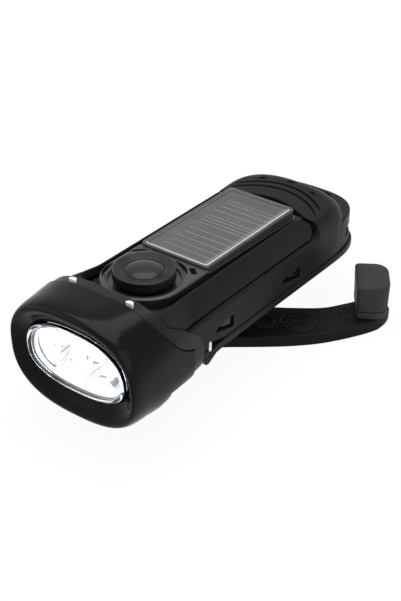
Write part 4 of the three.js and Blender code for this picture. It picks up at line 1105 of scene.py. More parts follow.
@dataclass
class Head:
    """The glossy bezel, the satin collar behind it and the snap lugs, whose bright white is a painted glow of
    the lit clear housing.
    """

    sections: tuple[Section, ...] = (
        Section(-12.0, 24.5, 27.0, 19.5, 12.9, 3.8),
        Section(-20.5, 24.8, 27.0, 19.7, 15.0, 3.7),
        Section(-34.0, 25.0, 27.0, 20.0, 18.8, 3.2),
        Section(-41.0, 25.0, 26.8, 20.2, 19.5, 2.75, -0.1),
        Section(-46.4, 24.9, 26.5, 20.0, 19.4, 2.45, -0.15),
    )
    brink: tuple[Section, Section] = (
        Section(-52.8, 25.0, 26.6, 20.2, 19.6, 2.55, -0.05),
        Section(-48.6, 23.9, 26.7, 17.4, 15.9, 2.45, -0.06),
    )
    window: Section = Section(-46.0, 19.8, 26.9, 12.8, 10.7, 2.4, -0.06)
    wall: float = 1.9
    skin: float = 0.45
    wall_front: float = -43.2
    sweep_reach: float = 63.3
    sweep_top: float = 17.9
    tongue: float = 4.0
    passage_depth: float = 3.8
    running: float = 0.55
    fit: float = 0.25
    bezel_edge: tuple[Spot, ...] = ((-35.0, 44.5), (-34.8, 40.0), (-26.4, 29.0), (-19.4, 28.0))
    collar_edge: tuple[Spot, ...] = ((-30.9, 42.5), (-30.6, 37.5), (-14.6, 35.4), (-14.6, 25.0))
    bend_steps: int = 24
    edge_steps: int = 48
    hole_radius: float = 1.65
    hole_at: Triple = (11.2, -34.0, 41.4)

    def at(self, along: float) -> Section:
        """Finds the head's section at a place on the smooth rear stretch.

        Args:
            along: The place.

        Returns:
            The section.
        """
        stops = self.sections
        for a, b in zip(stops, stops[1:]):
            if along >= b.along:
                return replace(between(a, b, (along - a.along) / (b.along - a.along)), along=along, lean=0.0)
        return stops[-1]

    def form(self, inset: float, start: float, end: float, steps: int = 14) -> Piece:
        """Builds the head's plain form between two places."""
        rings = [self.at(start + (end - start) * i / steps).ring(inset) for i in range(steps + 1)]
        return SHOP.loft("head_form", rings)

    def swept(self, grow: float) -> Piece:
        """Builds the room that the knob sweeps under the head."""
        return SHOP.disc(self.sweep_reach + grow, -FAR, self.sweep_top + grow, (0, DRAWING.pivot_along), 256)

    def behind(self, edge: Sequence[Spot], shift: float) -> Piece:
        """Builds the region behind an edge curve of the head.

        Args:
            edge: The curve's ends and the two points that it bends towards, from the top down.
            shift: How far back the region is moved.

        Returns:
            The region, right across the body.
        """
        top = edge[0][1] + FAR
        line = [(edge[0][0], top)]
        for i in range(self.edge_steps + 1):
            shares = bend_shares(i / self.edge_steps)
            line.append(tuple(sum(share * spot[k] for share, spot in zip(shares, edge)) for k in range(2)))
        line += [(edge[-1][0], -FAR), (FAR, -FAR), (FAR, top)]
        outline = [(y + shift if y < FAR else y, z) for y, z in line]
        return SHOP.prism("behind", outline, -FAR, FAR, Axis.ACROSS)

    def room_behind(self) -> Piece:
        """Builds the room that the head takes up, which the body's shells stay out of.

        Returns:
            The room.
        """
        rear, front = self.sections[0].along, self.wall_front
        zone = self.form(-1.8, rear, front)
        return SHOP.take(zone, self.behind(self.collar_edge, self.fit))

    def room_round_passage(self) -> Piece:
        """Builds the same room without the passage through the collar.

        Returns:
            The room.
        """
        rear, front = self.sections[0].along, self.wall_front
        hollow = self.form(self.passage_depth + self.fit, rear + 1.8, front - 1.8)
        SHOP.take(hollow, self.swept(self.passage_depth + self.fit))
        return SHOP.take(self.room_behind(), hollow)

    def outer_rings(self) -> list[Ring]:
        """Lists the rings from the head's rear along its sides and in one soft bend to the lens window.

        Returns:
            The rings.
        """
        rings: list[Ring] = []
        for a, b in zip(self.sections[:3], self.sections[1:4]):
            rings += [between(a, b, i / 6).ring() for i in range(6)]
        side, (outer, inner), edge = self.sections[3].ring(), self.brink, self.window.ring()
        for i in range(self.bend_steps + 1):
            shares = bend_shares(i / self.bend_steps)
            rings.append([sum((p * share for p, share in zip(spots, shares)), Vector((0, 0, 0)))
                          for spots in zip(side, outer.ring(), inner.ring(), edge)])
        return rings

    def bezel(self) -> Piece:
        """Builds the glossy bezel.

        Returns:
            The bezel.
        """
        outer = SHOP.loft("head_bezel_gloss", self.outer_rings())
        hollow = self.form(self.wall, self.sections[0].along + self.wall, self.wall_front)
        SHOP.take(hollow, self.swept(self.wall))
        opening = SHOP.loft("opening", [self.window.moved(self.window.along - 4).ring(0),
                                        self.window.moved(self.wall_front + 2).ring(0)])
        SHOP.take(outer, self.swept(0.0), hollow, opening, self.behind(self.bezel_edge, 0.0))
        return SHOP.smooth(outer, 30)

    def collar(self) -> Piece:
        """Builds the collar and the tongue that goes into the bezel.

        Returns:
            The collar.
        """
        rear, front = self.sections[0].along, self.wall_front + 1.8
        band = self.form(self.skin, rear, front)
        SHOP.take(band, self.swept(self.skin), self.behind(self.collar_edge, 0.0))
        SHOP.keep(band, self.behind(self.bezel_edge, self.running))
        tongue = self.form(self.wall + self.fit, rear, front)
        SHOP.take(tongue, self.swept(self.wall + self.fit),
                  self.behind(self.bezel_edge, self.running + self.skin))
        SHOP.keep(tongue, self.behind(self.bezel_edge, -self.tongue))
        passage = self.form(self.passage_depth, rear + 1.8, self.wall_front - 1.8)
        SHOP.take(passage, self.swept(self.passage_depth))
        band.name = "head_collar_satin"
        SHOP.join(band, tongue)
        SHOP.take(band, passage)
        x, y, low = self.hole_at
        for side in (-1, 1):
            SHOP.take(band, SHOP.disc(self.hole_radius, low, FAR + CLEAR, (side * x, y), 32))
        return SHOP.smooth(band, 30)

    def build(self) -> None:
        """Builds and fits the head."""
        BENCH.fit(self.bezel(), "housing", "head_black", HEAD_GLOSS, "head_bezel")
        BENCH.fit(self.collar(), "housing", "body_black", COLLAR_SATIN, "head_collar")
        # The lugs' white finish is a painted glow of the lit clear housing.
        BENCH.smooth_copies("housing", "lug_white", LUG_PAINTED_GLOW, "snap_lug_left", "snap_lug_right",
                            "side_lug_left", "side_lug_right")


# Optics


@dataclass
class Optics:
    """The clear lens with its stepped rim, the chrome reflector and the lit lamps."""

    window: Section = Section(-46.0, 19.8, 26.9, 12.8, 10.7, 2.4, -0.06)
    lens_front: float = -47.0
    wall_front: float = -43.2
    flange: float = 1.3
    plate: float = 1.7
    side: float = 1.5
    skirt_gap: float = 1.0
    spacing: float = 12.9
    mouth: float = 6.25
    throat: float = 2.9
    depth: float = 5.8
    front: float = -40.78
    back: float = -34.98
    tall: float = 1.2
    taper: float = 4.0
    taper_up: float = 1.8
    rear_spread: float = 0.5
    lamp_radius: float = 2.5
    lamp_long: float = 4.6
    lamp_waist: float = 0.93
    lamp_steps: int = 9
    fit: float = 0.25

    rim: tuple[Spot, ...] = ((0.55, 0.25), (0.2, 0.35), (0.04, 0.55), (0.0, 0.85), (0.0, 1.3), (0.08, 1.5),
                             (0.35, 1.65), (0.5, 1.9), (0.5, 2.2))
    dome: float = 0.42
    dome_rings: int = 8
    skirt_wall: Spot = (0.15, 0.55)
    cup_rings: int = 14

    def flat(self) -> Section:
        """Gives the window's outline without its lean."""
        return replace(self.window, along=0.0, lean=0.0)

    def facing_front(self, piece: Piece, x: float, along: float, tall: float = 1.0) -> Piece:
        """Lays a turned piece down so that it looks out of the lens.

        Args:
            piece: The piece, turned about the drawing's upright axis.
            x: Its place across.
            along: Its place along the body.
            tall: How far it is stretched upwards.

        Returns:
            The same piece.
        """
        origin = DRAWING.origin()
        spin = Matrix.Rotation(math.radians(90), 4, "X")
        grow = Matrix.Diagonal((1.0, 1.0, tall, 1.0))
        place = origin + Vector((x, along, self.window.middle)) * DRAWING.unit
        piece.data.transform(Matrix.Translation(place) @ grow @ spin @ Matrix.Translation(-origin))
        return piece

    def lens(self) -> Piece:
        """Builds the lens: a flange behind the bezel, a raised rim, a step and a gently domed face.

        Returns:
            The lens.
        """
        flat, lean = self.flat(), self.window
        low, front = self.wall_front + self.fit, self.lens_front
        rings = [flat.moved(low + 1.0).ring(-self.flange), flat.moved(low).ring(-self.flange),
                 flat.moved(low).ring(self.fit)]
        rings += [lean.moved(front + behind).ring(inset) for behind, inset in self.rim]
        behind, inset = self.rim[-1]
        for i in range(1, self.dome_rings):
            share = i / self.dome_rings
            bulge = self.dome * (1 - (1 - share) ** 2)
            rings.append(lean.moved(front + behind - bulge).ring(inset + (lean.down - inset) * share))
        lens = SHOP.loft("lens_clear_stepped", rings)
        hollow = [lean.moved(front + self.plate).ring(self.side), flat.moved(low - 0.4).ring(self.side),
                  flat.moved(low + 2.0).ring(self.side)]
        SHOP.take(lens, SHOP.loft("hollow", hollow))
        return SHOP.smooth(lens, 40)

    def sleeve(self) -> Piece:
        """Builds the reflector's bright skirt, which lines the lens's hollow.

        Returns:
            The skirt.
        """
        outline = self.flat()
        outer, inner = (self.side + inset for inset in self.skirt_wall)
        start, end = self.front + 0.1, self.lens_front + self.plate + self.skirt_gap
        outside = SHOP.loft("sleeve", [outline.moved(y).ring(outer) for y in (end, start)])
        inside = SHOP.loft("inside", [outline.moved(y).ring(inner) for y in (end - 2.0, start + 2.0)])
        return SHOP.take(outside, inside)

    def cup(self, x: float) -> Piece:
        """Builds the hollow of one cup, to cut with.

        Args:
            x: The cup's place across.

        Returns:
            The hollow.
        """
        profile = [(0.0, -OVER), (self.throat, -OVER)]
        for i in range(self.cup_rings + 1):
            share = i / self.cup_rings
            profile.append((self.throat + (self.mouth - self.throat) * math.sqrt(share), self.depth * share))
        profile += [(self.mouth, self.depth + OVER), (0.0, self.depth + OVER)]
        return self.facing_front(SHOP.lathe("cup", profile, 64), x, self.back, self.tall)

    def reflector(self) -> Piece:
        """Builds the reflector with its three cups.

        Returns:
            The reflector.
        """
        flat = self.flat()
        rear = replace(flat, along=self.back, half=flat.half + self.rear_spread, up=flat.up - self.taper_up,
                       down=flat.down - self.taper)
        rings = [flat.moved(self.front).ring(-self.flange / 2), rear.ring(0)]
        block = SHOP.loft("reflector_chrome_cups", rings)
        SHOP.join(block, self.sleeve())
        SHOP.take(block, *(self.cup(side * self.spacing) for side in (-1, 0, 1)))
        return SHOP.smooth(block, 25)

    def lamp(self, name: str, x: float) -> Piece:
        """Builds one lamp, a round-nosed epoxy body with a collar at its foot.

        Args:
            name: The lamp's name.
            x: Its place across.

        Returns:
            The lamp.
        """
        r, long, steps = self.lamp_radius, self.lamp_long, self.lamp_steps
        waist = r * self.lamp_waist
        profile = [(0.0, 0.0), (r, 0.0), (r, 0.5), (waist, 0.6)]
        for i in range(steps + 1):
            angle = math.radians(90 * i / steps)
            profile.append((waist * math.cos(angle), long - r + r * math.sin(angle)))
        piece = SHOP.lathe(name, profile, 32)
        return SHOP.smooth(self.facing_front(piece, x, self.back + self.fit), 35)

    def build(self) -> None:
        """Builds and fits the optics."""
        BENCH.fit(self.lens(), "housing", "clear_lens", LENS_CLEAR, "lens")
        BENCH.fit(self.reflector(), "housing", "reflector_chrome", CHROME, "reflector")
        for word, side in (("left", -1), ("middle", 0), ("right", 1)):
            lamp = self.lamp(f"lamp_lit_{word}", side * self.spacing)
            BENCH.fit(lamp, "housing", "lamp_white", LAMP_LIT, f"lamp_{word}")
        BENCH.keep(SEAL_RUBBER, "lens_seal")
        BENCH.keep(BOARD, "lamp_board")


# Upper body


@dataclass(frozen=True)
class RoofSection:
    """One section of the upper housing: its half width at the seam and its points up to the middle."""

    along: float
    roof: float
    edge: float
    points: tuple[Spot, ...]


@dataclass
class UpperBody:
    """The upper housing, the raised pod on it and the charge window."""

    sections: tuple[RoofSection, ...] = (
        RoofSection(-33.2, 4.0, 20.0, ((19.3, 35.8), (17.2, 38.6), (13.6, 40.8), (9.0, 42.1), (0, 42.7))),
        RoofSection(-30.3, 6.2, 22.7, ((22.0, 38.3), (19.4, 42.0), (15.4, 43.9), (9.0, 44.6), (0, 44.8))),
        RoofSection(-28.6, 5.0, 22.8, ((21.8, 38.6), (19.3, 42.0), (16.2, 43.2), (10.0, 43.0), (0, 42.9))),
        RoofSection(-26.5, 3.3, 22.4, ((21.2, 38.7), (18.9, 41.8), (17.0, 42.6), (13.6, 40.6), (0, 40.4))),
        RoofSection(-21.5, 1.8, 21.4, ((20.0, 38.5), (17.8, 41.6), (16.8, 42.0), (15.9, 39.2), (0, 39.0))),
        RoofSection(-14.0, 1.8, 20.6, ((19.2, 38.1), (17.0, 41.2), (16.1, 41.5), (15.6, 38.9), (0, 38.9))),
        RoofSection(60.0, 1.8, 20.4, ((19.0, 38.0), (16.8, 41.2), (15.9, 41.5), (15.6, 38.9), (0, 38.9))),
    )
    chamfer: float = 0.5
    front_steps: int = 6
    skirt: float = 2.4
    wall: float = 1.8
    roundings: tuple[float, ...] = (0.0, 0.15, 3.2, 2.2, 0.7, 0.6, 0.0)
    trim_front: float = -90.0
    flank_end: float = 53.0
    flank_corner: float = 3.5
    flank_top: float = 41.5
    flank_round: Spot = (8.0, 7.5)
    deck_top: float = 38.9
    seam: float = 33.4
    button_along: float = -13.4
    pod_half: float = 14.1
    pod_end: float = 51.4
    pod_corner: float = 3.0
    pod_top: float = 42.3
    pod_margin: float = 0.8
    lift: float = 0.12
    pod_lip: float = 0.7
    moat_radius: float = 12.1
    moat_floor: float = 40.4
    step_front: float = 0.98
    step_top: float = 41.5
    step_low: float = 39.9
    moat_wall: tuple[Spot, ...] = ((-0.4, -0.75), (-0.32, -0.62), (-0.1, -0.52), (0.15, -0.45), (0.3, -0.25),
                                   (0.42, 0.0))
    moat_foot: tuple[Spot, ...] = ((-0.9, 0.0), (-0.55, 0.12), (-0.45, 0.4))
    stem_hole: float = 3.12
    spring_hole: float = 5.0
    crescents: tuple[Triple, ...] = ((13.15, 40, 82), (13.0, 178, 219), (16.2, 123, 148))
    crescent_steps: int = 20
    crescent_wide: float = 1.5
    crescent_deep: float = 1.9
    charge_at: Spot = (10.2, -1.9)
    charge_corners: tuple[Spot, ...] = ((-2.4, 0.7), (1.0, -1.9), (2.2, -0.6), (-0.6, 1.7))
    charge_deep: float = 2.2

    def section_line(self, section: RoofSection, inset: float, drop: float, roofed: bool) -> Outline:
        """Draws one half section with rounded corners.

        Args:
            section: The section.
            inset: How far it lies inside.
            drop: How far its lower end goes below the seam.
            roofed: True for the inner form, which lies a roof's thickness lower.

        Returns:
            The half section from the seam to the middle.
        """
        sunk = section.roof if roofed else 0.0
        edge = [(section.edge - self.chamfer, self.seam), (section.edge, self.seam + self.chamfer)]
        points = [(max(x - inset, 0.0), z - (sunk if i else drop))
                  for i, (x, z) in enumerate([*edge, *section.points])]
        return fillet(points, self.roundings)

    def form(self, inset: float, drop: float, roofed: bool) -> Piece:
        """Skins the sections, with smooth stretches between them near the head.

        Args:
            inset: How far the form lies inside.
            drop: How far its lower end goes below the seam.
            roofed: True for the inner form.

        Returns:
            The form.
        """
        places = [s.along for s in self.sections]
        rows = list(zip(*(self.section_line(s, inset, drop, roofed) for s in self.sections)))
        stops = [(i, k / steps) for i, after in enumerate(places[1:])
                 for steps in [self.front_steps if after < 0 else 1] for k in range(steps)]
        rings = []
        for i, t in [*stops, (len(places) - 2, 1.0)]:
            along = places[i] + (places[i + 1] - places[i]) * t
            half = [Vector((eased(places, [spot[0] for spot in row], i, t, True), along,
                            eased(places, [spot[1] for spot in row], i, t, True))) for row in rows]
            rings.append(half + [Vector((-p.x, p.y, p.z)) for p in reversed(half[:-1])])
        return SHOP.loft("upper_form", rings)

    def trim(self, grow: float, low: float = -6.6) -> Piece:
        """Builds the region that the flanks keep to, with rounded tail corners.

        Args:
            grow: How far the region is grown.
            low: Its lowest level.

        Returns:
            The region.
        """
        half, front = self.sections[-1].edge + grow, self.trim_front
        corner, end = self.flank_corner + grow, self.flank_end + grow
        outline = [(-half - CLEAR, front), (half + CLEAR, front), (half + CLEAR, 0.0), (half, 0.0)]
        outline += arc(half - corner, end - corner, corner, 0, 90, 14)
        outline += arc(-half + corner, end - corner, corner, 90, 180, 14)
        outline += [(-half, 0.0), (-half - CLEAR, 0.0)]
        return SHOP.prism("trim", outline, low, self.seam + CLEAR)

    def under(self, grow: float) -> Piece:
        """Builds the region below the flanks' rounded rear end and the deck between them.

        Args:
            grow: How far the region is grown.

        Returns:
            The region.
        """
        end, top = self.flank_end + grow, self.flank_top + grow
        long, high = self.flank_round
        outline = [(-2 * CLEAR, -CLEAR), (end, -CLEAR)]
        for i in range(25):
            angle = math.radians(90 * i / 24)
            outline.append((end - long + long * math.cos(angle), top - high + high * math.sin(angle)))
        outline += [(end - long - 5, top + CLEAR), (-2 * CLEAR, top + CLEAR)]
        region = SHOP.across(outline)
        half = self.pod_half + self.pod_margin
        return SHOP.join(region, SHOP.box(-half, half, -2 * CLEAR, 2 * CLEAR, -CLEAR, self.deck_top + FIT))

    def pod_plan(self, grow: float) -> Outline:
        """Draws the pod's plan: a half round nose and a long tail with rounded corners.

        Args:
            grow: How far the plan is grown.

        Returns:
            The outline, anticlockwise.
        """
        half, end = self.pod_half + grow, self.pod_end + grow
        corner = self.pod_corner
        outline = arc(0.0, self.button_along, half, 180, 360, 48)
        outline += arc(half - corner, end - corner, corner, 0, 90, 8)
        outline += arc(-half + corner, end - corner, corner, 90, 180, 8)
        return outline

    def housing(self, head: Head) -> Piece:
        """Builds the upper housing.

        Args:
            head: The head, which the housing makes room for.

        Returns:
            The housing.
        """
        shell = self.form(0.0, 0.0, False)
        SHOP.keep(shell, self.trim(0.0), self.under(0.0))
        inner = self.form(self.wall, self.skirt, True)
        SHOP.keep(inner, self.trim(-self.wall), self.under(-self.wall))
        SHOP.take(shell, inner)
        nose = SHOP.prism("nose", self.pod_plan(self.pod_margin), self.deck_top, self.deck_top + 20)
        SHOP.take(shell, nose, SHOP.disc(self.stem_hole, 0, FAR, (0, self.button_along)))
        SHOP.take(shell, head.room_round_passage())
        shell.name = "upper_housing_satin"
        return SHOP.smooth(shell, 28)

    def pod(self) -> Piece:
        """Builds the pod: rounded top edge, stepped rear, moat with a lip and the crescent slots.

        Returns:
            The pod.
        """
        low = self.deck_top + self.lift
        slab = SHOP.prism("pod_cover_satin", self.pod_plan(0.0), low, self.pod_top, soft=self.pod_lip)
        top, floor, r = self.pod_top, self.moat_floor, self.moat_radius
        end, middle = self.pod_end, (0, self.button_along)
        step = [(self.step_front, self.step_top), (end, self.step_low), (end + CLEAR, self.step_low),
                (end + CLEAR, top + CLEAR), (self.step_front, top + CLEAR)]
        SHOP.take(slab, SHOP.across(step))
        wall = [(r + out, top + up) for out, up in self.moat_wall]
        foot = [(r + out, floor + up) for out, up in self.moat_foot]
        profile = [(0.0, floor), *foot, *wall, (wall[-1][0], top + OVER), (0.0, top + OVER)]
        SHOP.take(slab, SHOP.lathe("moat", profile, 128, middle),
                  SHOP.disc(self.spring_hole, self.deck_top - OVER, top, middle))
        x, y = self.charge_at
        opening = [(x + dx, y + dy) for dx, dy in self.charge_corners]
        SHOP.take(slab, *(self.crescent(*row) for row in self.crescents),
                  SHOP.prism("opening", opening, top - self.charge_deep, top + OVER))
        return SHOP.smooth(slab, 28)

    def crescent(self, radius: float, start: float, end: float) -> Piece:
        """Builds one crescent slot, to cut with.

        Args:
            radius: Radius of its middle line.
            start: First angle in degrees.
            end: Last angle in degrees.

        Returns:
            The slot.
        """
        outer, inner = [], []
        for i in range(self.crescent_steps + 1):
            share = i / self.crescent_steps
            angle = math.radians(start + (end - start) * share)
            swell = self.crescent_wide / 2 * math.sin(math.pi * min(max(share, 0.03), 0.97)) ** 0.7
            for line, r in ((outer, radius + swell), (inner, radius - swell * 0.8)):
                line.append((r * math.cos(angle), self.button_along + r * math.sin(angle)))
        outline = outer + inner[::-1]
        return SHOP.prism("crescent", outline, self.pod_top - self.crescent_deep, self.pod_top + OVER)

    def build(self, head: Head) -> None:
        """Builds and fits the upper body.

        Args:
            head: The head.
        """
        BENCH.fit(self.housing(head), "housing", "body_black", BODY_SATIN, "upper_housing")
        BENCH.fit(self.pod(), "housing", "pod_black", POD_SATIN, "pod_cover")
        # The charge window gets painted shade, a near-black standing in for the shaded hole.
        BENCH.keep(WINDOW_PAINTED_SHADE, "charge_window")


# Button


@dataclass
class PushButton:
    """The round button with its grooves and dome, and the switch under it."""

    along: float = -13.4
    radius: float = 10.0
    skirt_low: float = 41.8
    top: float = 45.3
    dome_radius: float = 6.1
    dome_rise: float = 0.7
    dome_rings: int = 10
    dish: float = 0.5
    edge: float = 0.5
    grooves: int = 4
    groove_lip: tuple[Spot, ...] = ((0.2, 0.03), (0.06, -0.16), (-0.06, -0.16), (-0.2, 0.03))
    ring_groove: float = 0.55
    stem: float = 3.0
    stem_low: float = 38.9

    def cap(self) -> Piece:
        """Builds the cap: a rolled rim, four fine grooves, a ring groove and a flat-topped dome.

        Returns:
            The cap.
        """
        r, top, low, soft = self.radius, self.top, self.skirt_low, self.edge
        profile = [(0.0, self.stem_low), (self.stem - 0.2, self.stem_low), (self.stem, self.stem_low + 0.2),
                   (self.stem, low), (r - 0.3, low), (r, low + 0.3), (r, top - soft)]
        for i in range(1, 7):
            angle = math.radians(90 * i / 6)
            profile.append((r - soft * (1 - math.cos(angle)), top - soft * (1 - math.sin(angle))))
        inner, dish = self.dome_radius + self.ring_groove, top - self.dish
        face = r - soft - inner
        for i in range(1, self.grooves + 1):
            spot = r - soft - face * (i - 0.4) / (self.grooves + 0.4)
            level = top - self.dish * (r - soft - spot) / face
            profile += [(spot + out, level + up) for out, up in self.groove_lip]
        profile += [(inner, dish), (inner - 0.12, dish - 0.05), (self.dome_radius + 0.3, dish - 0.3),
                    (self.dome_radius + 0.1, dish - 0.3), (self.dome_radius, dish - 0.05)]
        for i in range(1, self.dome_rings + 1):
            share = i / self.dome_rings
            rise = (self.dome_rise + self.dish) * (1 - (1 - share) ** 2.6)
            profile.append((self.dome_radius * (1 - share) if i < self.dome_rings else 0.0, dish + rise))
        return SHOP.smooth(SHOP.lathe("button_cap_grooved", profile, 128, (0, self.along)), 24)

    def build(self) -> None:
        """Builds and fits the button."""
        BENCH.fit(self.cap(), "button", "body_black", BUTTON_SATIN, "button_cap")
        BENCH.keep(STEEL, "button_spring")
        BENCH.keep(SWITCH_BLACK, "switch_body")
        BENCH.keep(PLUNGER_BEIGE, "switch_plunger")
        BENCH.keep(BOARD, "circuit_board")


# Solar module


@dataclass
class SolarModule:
    """The module's glossy frame, its wafer, the grey contact lines and the cover sheet's edge, painted with a
    highlight on its near and right sides and with shade on its far and left sides.
    """

    half: float = 13.5
    front: float = 1.1
    back: float = 50.4
    corner: float = 1.7
    border: float = 1.0
    top: float = 43.2
    lip: tuple[Spot, ...] = ((-0.85, 0.0), (-0.3, -0.05), (-0.08, -0.2), (1.0, -0.35))
    step_top: float = 41.62
    step_low: float = 40.02
    step_end: float = 51.4
    lines: tuple[float, ...] = (6.6, 9.8, 13.1, 16.4, 19.7, 24.1, 26.1, 28.1, 29.9, 34.0, 37.2, 40.2, 42.1)
    line_start: Spot = (-7.8, -8.3)
    line_wide: float = 0.16
    line_high: float = 0.06
    sunk: float = 0.05
    sheet_wide: float = 0.4
    sheet_high: float = 0.3

    def wafer_top(self) -> float:
        """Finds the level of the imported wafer's top."""
        piece = frame["nodes"]["solar_cell"]
        return max((piece.matrix_world @ corner.co).z for corner in piece.data.vertices) / DRAWING.unit

    def contact_lines(self) -> Piece:
        """Builds the thin cross lines, which end free on the left.

        Returns:
            The lines, as one piece.
        """
        top = self.wafer_top()
        end = self.half - self.border - self.sheet_wide
        parts = []
        for i, along in enumerate(self.lines):
            start = self.line_start[0] + (self.line_start[1] - self.line_start[0]) * i / (len(self.lines) - 1)
            half = self.line_wide / 2
            parts.append(SHOP.box(start, end, along - half, along + half, top - self.sunk,
                                  top + self.line_high))
        lines = parts[0]
        lines.name = "cell_lines_thin"
        SHOP.join(lines, *parts[1:])
        return SHOP.smooth(lines, 20)

    def sheet_edge(self, name: str, near_right: bool) -> Piece:
        """Builds one half of the cover sheet's edge, an angle along two sides of the wafer, which carries a
        painted highlight on the near and right half and painted shade on the far and left half.

        Args:
            name: The piece's name.
            near_right: True for the near and right sides, False for the far and left sides.

        Returns:
            The angle.
        """
        top, inset = self.wafer_top(), self.border + 0.02
        outer = rounded_rect(-self.half + inset, self.half - inset, self.front + inset, self.back - inset,
                             self.corner * 0.55, 8)
        ring = SHOP.prism(name, outer, top - self.sunk, top + self.sheet_high, soft=0.08)
        inner = [(x * (1 - self.sheet_wide / (self.half - inset)), y) for x, y in outer]
        middle = (self.front + self.back) / 2
        share = 1 - 2 * self.sheet_wide / (self.back - self.front - 2 * inset)
        inner = [(x, middle + (y - middle) * share) for x, y in inner]
        SHOP.take(ring, SHOP.prism("inner", inner, top - 1.0, top + 2.0))
        left, right, near, far = -self.half, self.half, self.front, self.back
        half = [(left, near - 2), (right + 2, near - 2), (right + 2, far), (right - inset, far - inset),
                (left + inset, near + inset), (left, near)]
        region = SHOP.prism("half", half, 0, 80)
        return SHOP.smooth(SHOP.work(ring, Cut.KEEP if near_right else Cut.TAKE, region), 30)

    def border_frame(self) -> Piece:
        """Builds the frame with rounded outer edges and a sloping inner lip.

        Returns:
            The frame.
        """
        outline = rounded_rect(-self.half, self.half, self.front, self.back, self.corner, 8)
        block = SHOP.prism("solar_frame_gloss", outline, self.step_low - 0.1, self.top, soft=0.4)
        ahead, past = self.front - CLEAR, self.step_end + CLEAR
        under = [(ahead, self.step_top), (self.front, self.step_top), (self.step_end, self.step_low),
                 (past, self.step_low), (past, -CLEAR), (ahead, -CLEAR)]
        SHOP.take(block, SHOP.across(under))
        rings = []
        for up, out in self.lip:
            half, inset = self.half - self.border - out, self.border + out
            plan = rounded_rect(-half, half, self.front + inset, self.back - inset, self.corner * 0.6, 8)
            rings.append(level_ring(plan, self.top + up))
        SHOP.take(block, SHOP.loft("well", rings))
        return SHOP.smooth(block, 28)

    def build(self) -> None:
        """Builds and fits the module."""
        BENCH.fit(self.border_frame(), "housing", "frame_black", FRAME_GLOSS, "solar_frame")
        BENCH.keep(WAFER, "solar_cell")
        BENCH.fit(self.contact_lines(), "housing", "silver_line", LINE_GREY, "cell_lines")
        # The sheet edge's near and right half is a painted highlight, its far and left half painted shade.
        BENCH.fit(self.sheet_edge("sheet_edge_near", True), "housing", "frame_black", SHEET_EDGE_PAINTED_HIGHLIGHT)
        BENCH.fit(self.sheet_edge("sheet_edge_far", False), "housing", "frame_black", SHEET_EDGE_PAINTED_SHADE)


# Lower body


@dataclass(frozen=True)
class TailPlan:
    """A plan with straight sides and a rounded tail."""

    half: float
    start: float
    apex: float
    power: float

    def line(self, front: float, inset: float = 0.0, steps: int = 64, side: int = 6) -> Outline:
        """Draws the plan.

        Args:
            front: Where the sides start.
            inset: How far the plan lies inside, sides and tail alike.
            steps: Stretches round the tail.
            side: Points on each straight side.

        Returns:
            The outline, anticlockwise.
        """
        half, apex = self.half - inset, self.apex - inset
        bend = max(self.start, front + FIT)
        stops = [front] + [front + (bend - front) * (0.55 + 0.45 * i / side) for i in range(side)]
        tail = []
        for i in range(steps + 1):
            across, out = blunt_turn(math.pi * i / steps, self.power)
            tail.append((across * half, bend + out * (apex - bend)))
        return [(half, y) for y in stops] + tail + [(-half, y) for y in reversed(stops)]


